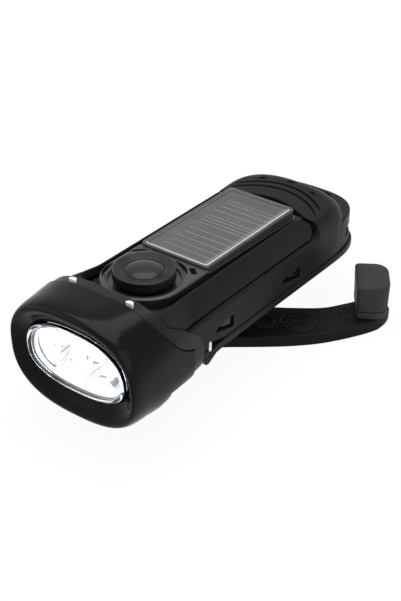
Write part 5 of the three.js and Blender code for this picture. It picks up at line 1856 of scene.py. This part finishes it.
@dataclass
class LowerBody:
    """The bumper frame with its ridged tail, shelf and windows, the hooks, and the bottom shell."""

    low: float = 20.9
    seam: float = 33.4
    floor: float = 17.8
    flange: float = 20.6
    front: float = -21.5
    bottom_front: float = -15.2
    levels: tuple[float, ...] = (20.9, 33.2, 37.0, 40.0, 46.0)
    plans: tuple[TailPlan, ...] = (
        TailPlan(21.3, 60.0, 76.0, 4.0),
        TailPlan(21.3, 60.0, 75.8, 4.0),
        TailPlan(20.9, 58.0, 75.0, 3.5),
        TailPlan(20.1, 56.0, 73.0, 3.0),
        TailPlan(17.2, 51.0, 68.5, 2.6),
    )
    stops: tuple[float, ...] = (21.3, 24.0, 27.0, 30.0, 32.0, 33.2, 34.2, 35.2, 36.2, 37.0, 37.8, 38.6, 39.3,
                                40.0, 40.8, 41.6, 42.4, 43.3, 44.4, 46.0)
    lip: float = 0.4
    crown_front: Spot = (53.0, 39.7)
    crown_back: Spot = (70.0, 41.2)
    crown_radius: float = 190.0
    crown_blend: float = 3.4
    crown_middle: float = 40.0
    crown_rings: int = 12
    inner: TailPlan = TailPlan(19.15, 48.0, 70.0, 2.5)
    well: TailPlan = TailPlan(17.4, 48.0, 68.2, 2.5)
    rim: TailPlan = TailPlan(18.9, 48.0, 69.75, 2.5)
    hollow: TailPlan = TailPlan(17.1, 48.0, 68.2, 2.5)
    hollow_start: float = 56.6
    wall: float = 1.8
    shelf: TailPlan = TailPlan(21.1, 60.0, 86.6, 3.0)
    shelf_top: float = 32.4
    flange_plan: TailPlan = TailPlan(21.4, 62.0, 87.4, 3.2)
    notch: Quad = (73.5, 23.6, 27.4, 2.0)
    slot: Quad = (7.5, 76.25, 84.4, 2.2)
    recess: Quad = (57.0, 30.0, 16.6, 36.0)
    recess_front: float = 44.0
    recess_lean: tuple[Spot, ...] = ((6.2, 0.25), (7.0, 0.6), (40.0, 18.0))
    edge_band: tuple[Spot, ...] = ((21.32, -1.05), (22.4, -1.05), (22.4, 1.0), (20.5, 0.45))
    edge_corner: tuple[Spot, ...] = ((31.9, 21.45), (32.5, 20.9), (33.3, 19.9), (35.4, 20.0), (37.0, 20.5),
                                     (38.8, 21.4))
    edge_span: Spot = (-30.0, 54.0)
    corner_start: float = 53.0
    corner_out: float = 24.5
    corner_lean: float = 1.07
    rise: tuple[Spot, ...] = ((-80.0, 0.0), (49.5, 0.0), (53.15, 0.6), (53.4, 1.8), (53.4, CLEAR),
                              (-80.0, CLEAR))
    grooves: tuple[Triple, ...] = ((63.4, 26.4, 18.2), (66.4, 26.4, 18.2))
    groove_radius: float = 0.6
    groove_steps: int = 56
    groove_round: int = 14
    groove_end: float = 0.35
    groove_sink: float = 0.08
    groove_tall: float = 1.5
    dimples: tuple[Spot, ...] = ((-11.4, 66.5), (-0.9, 69.1), (9.6, 67.0))
    dimple: Triple = (1.75, 0.95, 1.0)
    dimple_arc: float = 30.0
    dimple_steps: tuple[int, int] = (9, 28)
    windows: tuple[Spot, ...] = ((-5.0, 5.0), (31.8, 42.8))
    window_levels: Triple = (24.9, 22.8, 27.2)
    window_cut_off: Spot = (0.5, 1.5)
    wedge: tuple[Spot, ...] = ((2.0, 0.0), (-4.6, 1.55), (-8.1, 3.1), (-8.1, -1.8), (-4.6, -0.6))
    shelf_start: float = 58.2
    shelf_front: float = -30.0
    screw_hole: float = 1.22
    bottom_wall: float = 2.0
    boss_floor: float = 3.8
    boss_wall: float = 1.9
    rooted: float = 0.9
    screw_head: float = 2.55
    screw_head_top: float = 19.32
    screw_hole_top: float = 25.85
    screws: tuple[Spot, ...] = ((14.1, -10.6), (-14.1, -10.6), (16.3, 74.5), (-16.3, 74.5))
    boss: Quad = (9.2, 11.0, 4.65, 18.7)
    boss_edge: tuple[Spot, ...] = ((-0.5, 0.0), (-0.15, 0.15), (0.0, 0.5))
    bore: float = 2.58
    tongue: Quad = (13.5, -31.2, 22.6, 24.1)
    doorway: Spot = (15.0, 26.0)
    doorway_deep: float = 3.6
    rail: tuple[Spot, ...] = ((2.0, 17.92), (-4.3, 17.55), (-8.2, 15.4), (-9.6, 15.4), (-11.2, 17.92))
    rail_wide: float = 2.0
    seats: tuple[Quad, ...] = ((-5.96, 42.96, 21.05, 1.32), (-3.96, 56.11, 24.35, 1.28))
    seat_radius: float = 2.5

    def plan_at(self, level: float) -> TailPlan:
        """Mixes the plans smoothly at a level.

        Args:
            level: The level.

        Returns:
            The plan.
        """
        i = max(k for k in range(len(self.levels) - 1) if k == 0 or level >= self.levels[k])
        t = min(max((level - self.levels[i]) / (self.levels[i + 1] - self.levels[i]), 0.0), 1.0)
        return TailPlan(*(eased(self.levels, [getattr(plan, key) for plan in self.plans], i, t, False)
                          for key in ("half", "start", "apex", "power")))

    def crown(self, x: float, y: float) -> float:
        """Gives the level of the tail's domed top."""
        (y0, z0), (y1, z1) = self.crown_front, self.crown_back
        return z0 + (y - y0) * (z1 - z0) / (y1 - y0) - x * x / (2 * self.crown_radius)

    def dome(self) -> Piece:
        """Builds the bumper's outer form, whose sides round over into the domed top.

        Returns:
            The form.
        """
        rings = [level_ring(self.plans[0].line(self.front, self.lip), self.low),
                 level_ring(self.plans[0].line(self.front, self.lip * 0.3), self.low + self.lip * 0.3)]
        for level in self.stops:
            ring = []
            for x, y in self.plan_at(level).line(self.front):
                top = self.crown(x, y)
                soft = max(self.crown_blend - abs(top - level), 0.0) ** 2 / (4 * self.crown_blend)
                ring.append(Vector((x, y, min(top, level) - soft)))
            rings.append(ring)
        last, middle = rings[-1], self.crown_middle
        for i in range(1, self.crown_rings):
            share = 1 - i / self.crown_rings
            plan = [(spot.x * share, middle + (spot.y - middle) * share) for spot in last]
            rings.append([Vector((x, y, self.crown(x, y))) for x, y in plan])
        return SHOP.loft("bumper_frame_satin", rings)

    def block(self, plan: TailPlan, front: float, low: float, high: float, soft: float = 0.0,
              soft_low: float = 0.0) -> Piece:
        """Builds a block from a tail plan, with rounded upper and lower edges where asked."""
        stops = soft_stops(low, high, soft, soft_low)
        return SHOP.loft("block", [level_ring(plan.line(front, inset), level) for level, inset in stops])

    def groove(self, apex: float, radius: float, half: float) -> Piece:
        """Builds one round-bottomed arc groove of the tail, with ends that run out, to cut with.

        Args:
            apex: How far back the arc reaches.
            radius: The arc's radius.
            half: Half the arc's width.

        Returns:
            The groove.
        """
        reach, steps, round_steps = math.asin(half / radius), self.groove_steps, self.groove_round
        rings = []
        for i in range(steps + 1):
            turn = math.pi / 2 + reach * (1 - 2 * i / steps)
            x, y = radius * math.cos(turn), apex - radius + radius * math.sin(turn)
            out = Vector((math.cos(turn), math.sin(turn), 0))
            size = self.groove_radius * min(1.0, self.groove_end + 6 * min(i, steps - i) / steps)
            centre = Vector((x, y, self.crown(x, y) - self.groove_sink))
            tall = size * self.groove_tall
            rings.append([centre + out * size * math.cos(a) + Vector((0, 0, tall * math.sin(a)))
                          for a in (2 * math.pi * k / round_steps for k in range(round_steps))])
        return SHOP.loft("groove", rings)

    def dimple_at(self, x: float, y: float) -> Piece:
        """Builds one oval dimple of the tail, to cut with.

        Args:
            x: Its place across.
            y: Its place along.

        Returns:
            The dimple.
        """
        long, wide, deep = self.dimple
        tilt = -math.asin(x / self.dimple_arc)
        rows, steps = self.dimple_steps
        rings = []
        for k in range(rows):
            a = math.radians(-90 + 180 * (k + 0.5) / rows)
            ring = []
            for i in range(steps):
                b = 2 * math.pi * i / steps
                u, v = long * math.cos(a) * math.cos(b), wide * math.cos(a) * math.sin(b)
                ring.append(Vector((x + u * math.cos(tilt) - v * math.sin(tilt),
                                    y + u * math.sin(tilt) + v * math.cos(tilt),
                                    self.crown(x, y) + deep * math.sin(a))))
            rings.append(ring)
        return SHOP.loft("dimple", rings)

    def recess_cut(self) -> Piece:
        """Builds the recess between the module and the tail, with a wall that leans back.

        Returns:
            The recess.
        """
        apex, radius, half, floor = self.recess
        reach = math.degrees(math.asin(half / radius))
        rings = []
        for level, grow in ((floor, 0.0), *((self.seam + rise, grow) for rise, grow in self.recess_lean)):
            around = arc(0.0, apex - radius, radius + grow, 90 - reach, 90 + reach, 40)
            front = [(-half - grow, self.recess_front), (half + grow, self.recess_front)]
            rings.append(level_ring(front + around, level))
        return SHOP.loft("recess", rings)

    def edge_cuts(self, side: int) -> list[Piece]:
        """Builds the chamfers of the bumper's upper edge beside a flank and round the flank's rear end.

        Args:
            side: 1 for the right side, -1 for the left side.

        Returns:
            The solids to cut with.
        """
        along = [[Vector((side * x, y, self.seam + rise)) for x, rise in self.edge_band]
                 for y in self.edge_span]
        start, out = self.corner_start, self.corner_out
        corner = [[Vector((side * near, start, level)), Vector((side * out, start, level)),
                   Vector((side * out, start + (out - near) * self.corner_lean, level))]
                  for level, near in self.edge_corner]
        return [SHOP.loft("band", along), SHOP.loft("corner", corner)]

    def window_cut(self, span: Spot) -> list[Piece]:
        """Builds one window's opening on both sides.

        Args:
            span: Where the window starts and ends.

        Returns:
            The two openings.
        """
        start, end = span
        nose, low, high = self.window_levels
        cut, back = self.window_cut_off
        return self.both_sides([(start, nose), (end - cut, low), (end, low + cut), (end, high - cut),
                                (end - cut, high), (start + back, nose + back)])

    def both_sides(self, outline: Outline) -> list[Piece]:
        """Draws a side outline out through both side walls.

        Args:
            outline: The side outline.

        Returns:
            The two solids.
        """
        near = self.inner.half
        return [SHOP.prism("cut", outline, low, high, Axis.ACROSS)
                for low, high in ((near, CLEAR), (-CLEAR, -near))]

    def wedge_cut(self) -> list[Piece]:
        """Builds the wedge gap between the bumper and the rail."""
        return self.both_sides([(along, self.flange + rise) for along, rise in self.wedge])

    def shelf_block(self) -> Piece:
        """Builds the shelf behind the ridge, with its notch.

        Returns:
            The shelf.
        """
        front, low, high, deep = self.notch
        shelf = self.block(self.shelf, self.shelf_start, self.low, self.shelf_top, 0.7, 0.4)
        notch = SHOP.box(-CLEAR, CLEAR, front, 3 * CLEAR, low, high)
        core = replace(self.shelf, half=self.shelf.half - deep, apex=self.shelf.apex - deep)
        SHOP.take(notch, self.block(core, self.shelf_start, low - OVER, high + OVER))
        SHOP.take(shelf, notch)
        return shelf

    def slot_cut(self, low: float, high: float, lip: float) -> Piece:
        """Builds the lanyard slot, with a softly widened upper end.

        Args:
            low: Its lower end.
            high: Its upper end.
            lip: How far it widens.

        Returns:
            The slot.
        """
        half, near, far, corner = self.slot
        rings = []
        small = lip * 0.3
        stops = ((low, 0.0), (high - lip, 0.0), (high - small, small), (high, lip), (high + 8.0, lip))
        for level, grow in stops:
            plan = rounded_rect(-half - grow, half + grow, near - grow * 0.3, far + grow, corner + grow, 10)
            rings.append(level_ring(plan, level))
        return SHOP.loft("slot", rings)

    def bumper(self, head: Head, upper: UpperBody) -> Piece:
        """Builds the bumper frame.

        Args:
            head: The head.
            upper: The upper body, whose flanks the frame makes room for.

        Returns:
            The frame.
        """
        frame_form = self.dome()
        rise = [(along, self.seam + up) for along, up in self.rise]
        SHOP.take(frame_form, SHOP.across(rise), upper.trim(0.35, self.seam - FIT), self.recess_cut())
        under = self.low - OVER
        SHOP.take(frame_form, self.block(self.inner, self.front - OVER, under, self.seam),
                  self.block(self.hollow, self.hollow_start, under, self.recess[3] - self.wall))
        SHOP.take(frame_form, *(self.groove(*row) for row in self.grooves),
                  *(self.dimple_at(*spot) for spot in self.dimples), *self.edge_cuts(-1), *self.edge_cuts(1))
        shelf = self.shelf_block()
        SHOP.take(shelf, self.block(self.inner, self.shelf_front, under, self.shelf_top + OVER))
        SHOP.join(frame_form, shelf)
        SHOP.take(frame_form, self.slot_cut(under, self.shelf_top, 0.5),
                  *(side for span in self.windows for side in self.window_cut(span)),
                  *self.wedge_cut(), head.room_behind(),
                  *(SHOP.disc(self.screw_hole, under, self.screw_hole_top, spot, 24)
                    for spot in self.screws[2:]))
        return SHOP.smooth(frame_form, 30)

    def bottom(self, head: Head) -> Piece:
        """Builds the bottom shell: flange plate, inner rim, boss, tongue, rails and screw seats.

        Args:
            head: The head.

        Returns:
            The shell.
        """
        shell = self.block(self.flange_plan, self.bottom_front, self.floor, self.flange, 0.45, 0.6)
        shell.name = "bottom_shell_satin"
        inside, front = self.floor + self.bottom_wall, self.bottom_front
        above, below = inside + OVER, self.floor - OVER
        SHOP.join(shell, self.block(self.rim, front, self.floor + 0.2, self.seam - 0.5))
        SHOP.take(shell, self.block(self.well, front + self.wall, inside, self.seam + OVER))
        half, sill = self.doorway
        SHOP.take(shell, SHOP.box(-half, half, front - OVER, front + self.doorway_deep, sill,
                                 self.seam + OVER))
        pivot = (0.0, DRAWING.pivot_along)
        foot, root, low, high = self.boss
        edge = [(foot + out, low + up) for out, up in self.boss_edge]
        profile = [(0.0, low), *edge, (root, high), (0.0, high)]
        SHOP.join(shell, SHOP.lathe("boss", profile, 96, pivot))
        level, wall = low + self.boss_floor, self.boss_wall
        hollow = [(0.0, level), (foot - wall, level), (root - wall, above), (0.0, above)]
        SHOP.take(shell, SHOP.lathe("hollow", hollow, 64, pivot),
                  SHOP.disc(self.bore, low - OVER, above, pivot))
        wide, tip, under, over = self.tongue
        SHOP.take(shell, SHOP.box(-CLEAR, CLEAR, front - CLEAR, front + FIT, 0.0, under - FIT),
                  head.room_round_passage())
        riser = SHOP.box(-wide, wide, front, front + self.wall, inside - self.rooted, over)
        SHOP.take(riser, head.room_round_passage())
        SHOP.join(shell, riser, SHOP.box(-wide, wide, tip, front + self.wall, under, over))
        edge = self.flange_plan.half
        for start in (edge - self.rail_wide, -edge):
            SHOP.join(shell,
                      SHOP.prism("rail", list(self.rail)[::-1], start, start + self.rail_wide, Axis.ACROSS))
        for spot in self.screws:
            SHOP.take(shell, SHOP.disc(self.screw_head, below, self.screw_head_top, spot, 48),
                      SHOP.disc(self.screw_hole, below, above, spot, 24))
        for x, y, top, hole in self.seats:
            SHOP.join(shell, SHOP.disc(self.seat_radius, inside - self.rooted, top, (x, y), 32))
            SHOP.take(shell, SHOP.disc(hole, inside, top + OVER, (x, y), 24))
        SHOP.take(shell, *self.wedge_cut(), self.slot_cut(below, self.flange + OVER, 0.0))
        return SHOP.smooth(shell, 30)

    def build(self, head: Head, upper: UpperBody) -> None:
        """Builds and fits the lower body.

        Args:
            head: The head.
            upper: The upper body.
        """
        BENCH.fit(self.bumper(head, upper), "housing", "body_black", BODY_SATIN, "bumper_frame")
        BENCH.fit(self.bottom(head), "housing", "body_black", BODY_SATIN, "bottom_shell")
        BENCH.smooth_copies("housing", "body_black", BUTTON_SATIN, "hook_left_front", "hook_left_rear",
                            "hook_right_front", "hook_right_rear")
        BENCH.smooth_copies("housing", "screw_steel", STEEL, "screw_1", "screw_2", "screw_3", "screw_4")


# Crank


@dataclass
class Crank:
    """The crank arm with its moulded marks, the shaft, the arm's screw and the knob's pin."""

    thick: float = 4.3
    hub: float = 10.3
    turned: float = -44.3
    outline: tuple[Spot, ...] = (
        (12.1, 13.5), (12.9, 23.0), (12.6, 33.0), (10.3, 44.5), (7.3, 53.2), (3.6, 57.9), (-1.5, 59.4),
        (-5.9, 56.6), (-6.3, 50.5), (-5.0, 44.5), (-3.6, 36.0), (-5.4, 24.0), (-8.6, 10.0))
    ring_at: Spot = (4.2, 25.8)
    ring_radius: float = 6.1
    small_rings: tuple[Triple, ...] = ((2.6, 13.6, 4.2), (6.0, 43.0, 1.7), (-0.6, 42.6, 1.9))
    ring_wide: float = 0.5
    ring_high: float = 0.3
    ring_edge: float = 0.12
    ring_steps: int = 64
    knob_at: Spot = (-0.9, 53.2)
    tip_short: float = 0.12
    tip_long: float = 11.0
    tip_rise: float = 2.6
    marks: int = 12
    mark: Triple = (0.7, 1.7, 0.3)
    mark_high: float = 0.2
    inner_ring: Triple = (4.2, 0.35, 0.2)
    hub_screw: Triple = (2.62, 3.85, 1.58)
    pin_hole: Triple = (1.72, 2.85, 2.72)

    def plan(self) -> Outline:
        """Draws the arm's plan: a round hub and smooth sides out to the tip.

        Returns:
            The outline, anticlockwise.
        """
        points = arc(0.0, 0.0, self.hub, 180, 360, 40)[:-1]
        sides = [(self.hub, 0.0), *self.outline, (-self.hub, 0.0)]
        return points + through(sides, 10)[:-1]

    def ring(self, at: Spot, radius: float, width: float, high: float) -> Piece:
        """Builds one raised ring on the arm.

        Args:
            at: Its middle.
            radius: Outer radius.
            width: How wide it is.
            high: How far it stands up.

        Returns:
            The ring.
        """
        low = self.thick - SUNK
        top = self.thick + high
        edge, near = self.ring_edge, radius - width
        profile = [(near, low), (near, top - edge), (near + edge, top), (radius - edge, top),
                   (radius, top - edge), (radius, low)]
        rings = []
        for i in range(self.ring_steps):
            angle = 2 * math.pi * i / self.ring_steps
            c, s = math.cos(angle), math.sin(angle)
            rings.append([Vector((at[0] + r * c, at[1] + r * s, z)) for r, z in profile])
        return SHOP.loft("mark", rings, closed=True)

    def dash(self, degrees: float) -> Piece:
        """Builds one short raised mark between the arm's large rings.

        Args:
            degrees: Its place round the rings.

        Returns:
            The mark.
        """
        outside, inside, wide = self.mark
        far, near = self.ring_radius - outside, self.ring_radius - inside
        c, s = math.cos(math.radians(degrees)), math.sin(math.radians(degrees))
        cx, cy = self.ring_at
        outline = [(cx + reach * c + side * wide * s, cy + reach * s - side * wide * c)
                   for reach, side in ((near, 1), (far, 1), (far, -1), (near, -1))]
        return SHOP.prism("dash", outline, self.thick - SUNK, self.thick + self.mark_high)

    def arm(self) -> Piece:
        """Builds the arm.

        Returns:
            The arm.
        """
        arm = SHOP.prism("crank_arm_satin", self.plan(), 0.0, self.thick, soft=0.45, soft_low=0.3)
        tip = self.knob_at[1] + self.hub - self.tip_short
        start = tip - self.tip_long
        relief = [(start, -self.tip_short), (tip, self.tip_rise), (tip + CLEAR, self.tip_rise),
                  (tip + CLEAR, -CLEAR), (start, -CLEAR)]
        SHOP.take(arm, SHOP.across(relief))
        SHOP.join(arm, self.ring(self.ring_at, self.ring_radius, self.ring_wide, self.ring_high),
                  self.ring(self.ring_at, *self.inner_ring),
                  *(self.ring((x, y), radius, self.ring_wide, self.ring_high)
                    for x, y, radius in self.small_rings),
                  *(self.dash(360 * i / self.marks) for i in range(self.marks)))
        hole, seat, floor = self.hub_screw
        SHOP.take(arm, SHOP.disc(hole, floor, CLEAR), SHOP.disc(seat, -CLEAR, floor))
        hole, seat, floor = self.pin_hole
        SHOP.take(arm, SHOP.disc(hole, -CLEAR, CLEAR, self.knob_at, 32),
                  SHOP.disc(seat, -CLEAR, floor, self.knob_at, 32))
        SHOP.turn(arm, self.turned, (0.0, DRAWING.pivot_along))
        return SHOP.smooth(arm, 28)

    def build(self) -> None:
        """Builds and fits the crank."""
        BENCH.fit(self.arm(), "crank", "arm_black", ARM_SATIN, "crank_arm")
        BENCH.smooth_copies("crank", "shaft_steel", STEEL, "crank_shaft", "arm_screw", "knob_pin")


@dataclass
class Knob:
    """The matte knob and the foot that it stands on."""

    half: float = 8.9
    flat: float = 5.85
    shift: Spot = (-0.5, -0.3)
    corner: float = 1.6
    bulge: float = 5.0
    low: float = 7.15
    top: float = 17.35
    tuck: float = 0.3
    rounding: float = 1.1
    low_edge: tuple[Spot, ...] = ((0.0, 0.35), (0.1, 0.1), (0.35, 0.0))
    foot_top: float = 6.9
    foot_edge: tuple[Spot, ...] = ((4.42, 0.15), (4.62, 0.0), (6.65, 0.0), (6.83, 0.08), (6.9, 0.3))
    running: float = 0.08
    pressed: float = 0.12
    pin: float = 1.6
    pin_top: float = 15.2
    reach: Spot = (-0.9, 53.2)
    turned: float = -11.6
    arm_turned: float = -44.3

    def ring(self, level: float, inset: float) -> Ring:
        """Draws the knob's plan at a level, with corners that shrink about their own centres.

        Args:
            level: The level.
            inset: How far the plan lies inside.

        Returns:
            The ring.
        """
        points = []
        corners = ((-1, -1, self.corner), (1, -1, self.corner), (1, 1, self.bulge), (-1, 1, self.bulge))
        for quarter, (sx, sy, full) in enumerate(corners):
            radius = max(full - inset, 0.3)
            half, flat = self.half - inset - radius, self.flat - inset - radius
            for i in range(13):
                angle = math.pi + (quarter + i / 12) * (math.pi / 2)
                points.append(Vector((self.shift[0] + sx * max(half, 0.0) + radius * math.cos(angle),
                                      self.shift[1] + sy * max(flat, 0.0) + radius * math.sin(angle), level)))
        return points

    def place(self, piece: Piece) -> Piece:
        """Moves a piece from the knob's own centre to its place on the arm."""
        SHOP.turn(piece, self.turned, self.reach)
        return SHOP.turn(piece, self.arm_turned, (0.0, DRAWING.pivot_along))

    def knob(self) -> Piece:
        """Builds the knob with a softly rounded top.

        Returns:
            The knob.
        """
        rings = [self.ring(self.low + up, self.tuck + inset) for up, inset in self.low_edge]
        start, rise = self.low + self.low_edge[-1][0], self.top - self.rounding
        rings += [self.ring(start + (rise - start) * i / 5, self.tuck * (1 - i / 5)) for i in range(1, 6)]
        for i in range(1, 9):
            angle = math.radians(90 * i / 8)
            rings.append(self.ring(rise + self.rounding * 0.8 * math.sin(angle),
                                   self.rounding * (1 - math.cos(angle))))
        for i in range(1, 5):
            share = i / 4
            rings.append(self.ring(rise + self.rounding * (0.8 + 0.2 * (1 - (1 - share) ** 2)),
                                   self.rounding + 3.0 * share))
        knob = SHOP.loft("knob_matte", rings)
        SHOP.take(knob, SHOP.disc(self.pin + self.running, 0, self.pin_top + FIT, steps=32))
        return SHOP.smooth(self.place(knob), 30)

    def foot(self) -> Piece:
        """Builds the foot.

        Returns:
            The foot.
        """
        rings = [self.ring(level, self.tuck + inset) for level, inset in self.foot_edge]
        foot = SHOP.loft("knob_foot_matte", rings)
        SHOP.take(foot, SHOP.disc(self.pin + self.pressed, 0, self.foot_top + OVER, steps=32))
        return SHOP.smooth(self.place(foot), 30)

    def build(self) -> None:
        """Builds and fits the knob and its foot."""
        BENCH.fit(self.knob(), "knob", "knob_grey", KNOB_MATTE, "knob")
        BENCH.fit(self.foot(), "crank", "knob_grey", KNOB_MATTE, "knob_foot")


# Inside


@dataclass
class Inside:
    """The dynamo with its gear train, and the cells."""

    def build(self) -> None:
        """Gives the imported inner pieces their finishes."""
        BENCH.keep(GEAR_NYLON, "gear_plate", "crank_gear", "idler_gear")
        BENCH.keep(BRASS, "rotor_pinion")
        BENCH.keep(STEEL, "idler_axle", "rotor_shaft", "generator_stator")
        BENCH.keep(MAGNET, "rotor_magnet")
        BENCH.keep(COPPER, "generator_coil")
        BENCH.keep(CELL_METAL, "battery_front", "battery_middle", "battery_rear")


# Studio


@dataclass(frozen=True)
class Softbox:
    """One soft lamp of the studio."""

    name: str
    spot: Triple
    aim: Triple
    size: Spot
    watts: float
    colour: Colour = (1.0, 1.0, 1.0)


@dataclass
class Studio:
    """A pale floor, a white surround, soft lamps and the camera."""

    camera_spot: Triple = (226.9, -282.5, 253.8)
    right: Triple = (0.7955, 0.6060, 0.0)
    up: Triple = (-0.3220, 0.4227, 0.8472)
    back: Triple = (0.5133, -0.6739, 0.5314)
    focal_pixels: float = 1322.85
    width_pixels: float = 401.0
    sensor: float = 36.0
    surround: float = 0.5
    floor_size: float = 6.0
    floor_gap: float = 0.0002
    floor_glow: float = 0.94
    boxes: tuple[Softbox, ...] = (
        Softbox("softbox_over", (-0.05, 0.05, 0.75), (0.0, 0.0, 0.03), (0.7, 0.7), 5.5),
        Softbox("softbox_right", (0.75, -0.15, 0.35), (0.0, 0.0, 0.03), (0.75, 0.75), 2.5),
        Softbox("softbox_left", (-0.6, -0.45, 0.4), (0.0, 0.0, 0.03), (0.7, 0.7), 1.6),
    )

    def floor(self) -> None:
        """Lays the floor, which looks white and keeps the flashlight's shadow."""
        bpy.ops.mesh.primitive_plane_add(size=self.floor_size, location=(0, 0, -self.floor_gap))
        floor = bpy.context.object
        floor.name = "studio_floor"
        tree = Tree("floor_white")
        tree.set(Roughness=0.9, Specular_IOR_Level=0.1)
        tree.set(Base_Color=tree.blend(tree.noise(20.0, 2.0), (0.83, 0.83, 0.83), (0.86, 0.86, 0.86)))
        glow = tree.add("ShaderNodeEmission", Strength=1.0)
        mixed = tree.add("ShaderNodeMixShader")
        seen = self.seen(tree)
        share = tree.add("ShaderNodeMath", operation="MULTIPLY")
        share.inputs[1].default_value = self.floor_glow
        tree.join_all(mixed, tree.join_all(share, seen), tree.shader.outputs[0], glow.outputs[0])
        tree.join(mixed.outputs[0], tree.output.inputs["Surface"])
        floor.data.materials.append(tree.material)

    def seen(self, nodes: Nodes) -> Socket:
        """Finds the rays from the camera, and those seen in gloss or through clear plastic.

        Args:
            nodes: The node tree that asks.

        Returns:
            A socket that gives 1 for such rays and 0 for all others.
        """
        path = nodes.add("ShaderNodeLightPath")
        share = path.outputs["Is Camera Ray"]
        for ray in ("Is Glossy Ray", "Is Transmission Ray"):
            share = nodes.join_all(nodes.add("ShaderNodeMath", operation="MAXIMUM"), share, path.outputs[ray])
        return share

    def world(self) -> None:
        """Sets the white surround and its plain light."""
        world = bpy.data.worlds.new("studio_world")
        bpy.context.scene.world = world
        world.use_nodes = True
        nodes = Nodes(world.node_tree)
        output = nodes.add("ShaderNodeOutputWorld")
        light = nodes.add("ShaderNodeBackground", Strength=self.surround)
        white = nodes.add("ShaderNodeBackground", Color=(1, 1, 1, 1), Strength=1.0)
        mixed = nodes.add("ShaderNodeMixShader")
        nodes.join_all(mixed, self.seen(nodes), light.outputs[0], white.outputs[0])
        nodes.join(mixed.outputs[0], output.inputs["Surface"])

    def lamps(self) -> None:
        """Hangs the soft lamps."""
        for box in self.boxes:
            data = bpy.data.lights.new(box.name, "AREA")
            data.shape = "RECTANGLE"
            data.size, data.size_y = box.size
            data.energy = box.watts
            data.color = box.colour
            lamp = bpy.data.objects.new(box.name, data)
            lamp.location = box.spot
            lamp.rotation_euler = (Vector(box.aim) - Vector(box.spot)).to_track_quat("-Z", "Y").to_euler()
            bpy.context.scene.collection.objects.link(lamp)

    def camera(self) -> None:
        """Sets the camera at the photograph's viewing angle."""
        data = bpy.data.cameras.new("camera")
        data.sensor_fit = "HORIZONTAL"
        data.sensor_width = self.sensor
        data.lens = self.focal_pixels * self.sensor / self.width_pixels
        data.clip_start, data.clip_end = 0.01, 20.0
        camera = bpy.data.objects.new("camera", data)
        turn = Matrix((self.right, self.up, self.back)).transposed().to_4x4()
        camera.matrix_world = Matrix.Translation(DRAWING.into_frame(Vector(self.camera_spot))) @ turn
        bpy.context.scene.collection.objects.link(camera)
        bpy.context.scene.camera = camera

    def build(self) -> None:
        """Builds the studio."""
        self.floor()
        self.world()
        self.lamps()
        self.camera()
        bpy.context.scene.view_settings.view_transform = "Standard"
        log.info("studio: %d soft lamps", len(self.boxes))


def corners(box: Sequence[Sequence[float]]) -> list[list[float]]:
    """Turns a box's two corners into plain lists."""
    return [[float(value) for value in corner] for corner in box]


def main() -> None:
    """Builds every sub-assembly in order and notes each one as it is done."""
    logging.basicConfig(level=logging.INFO, format="%(name)s: %(message)s")
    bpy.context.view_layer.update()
    head = Head()
    upper = UpperBody()
    head.build()
    steps: list[tuple[str, Callable[[], None]]] = [
        ("optics", Optics().build),
        ("upper body", lambda: upper.build(head)),
        ("push button", PushButton().build),
        ("solar module", SolarModule().build),
        ("lower body", lambda: LowerBody().build(head, upper)),
        ("crank", Crank().build),
        ("knob", Knob().build),
        ("inside", Inside().build),
        ("studio", Studio().build),
    ]
    for name, build in steps:
        build()
        log.info("%s done", name)


if __name__ == "__main__":
    main()
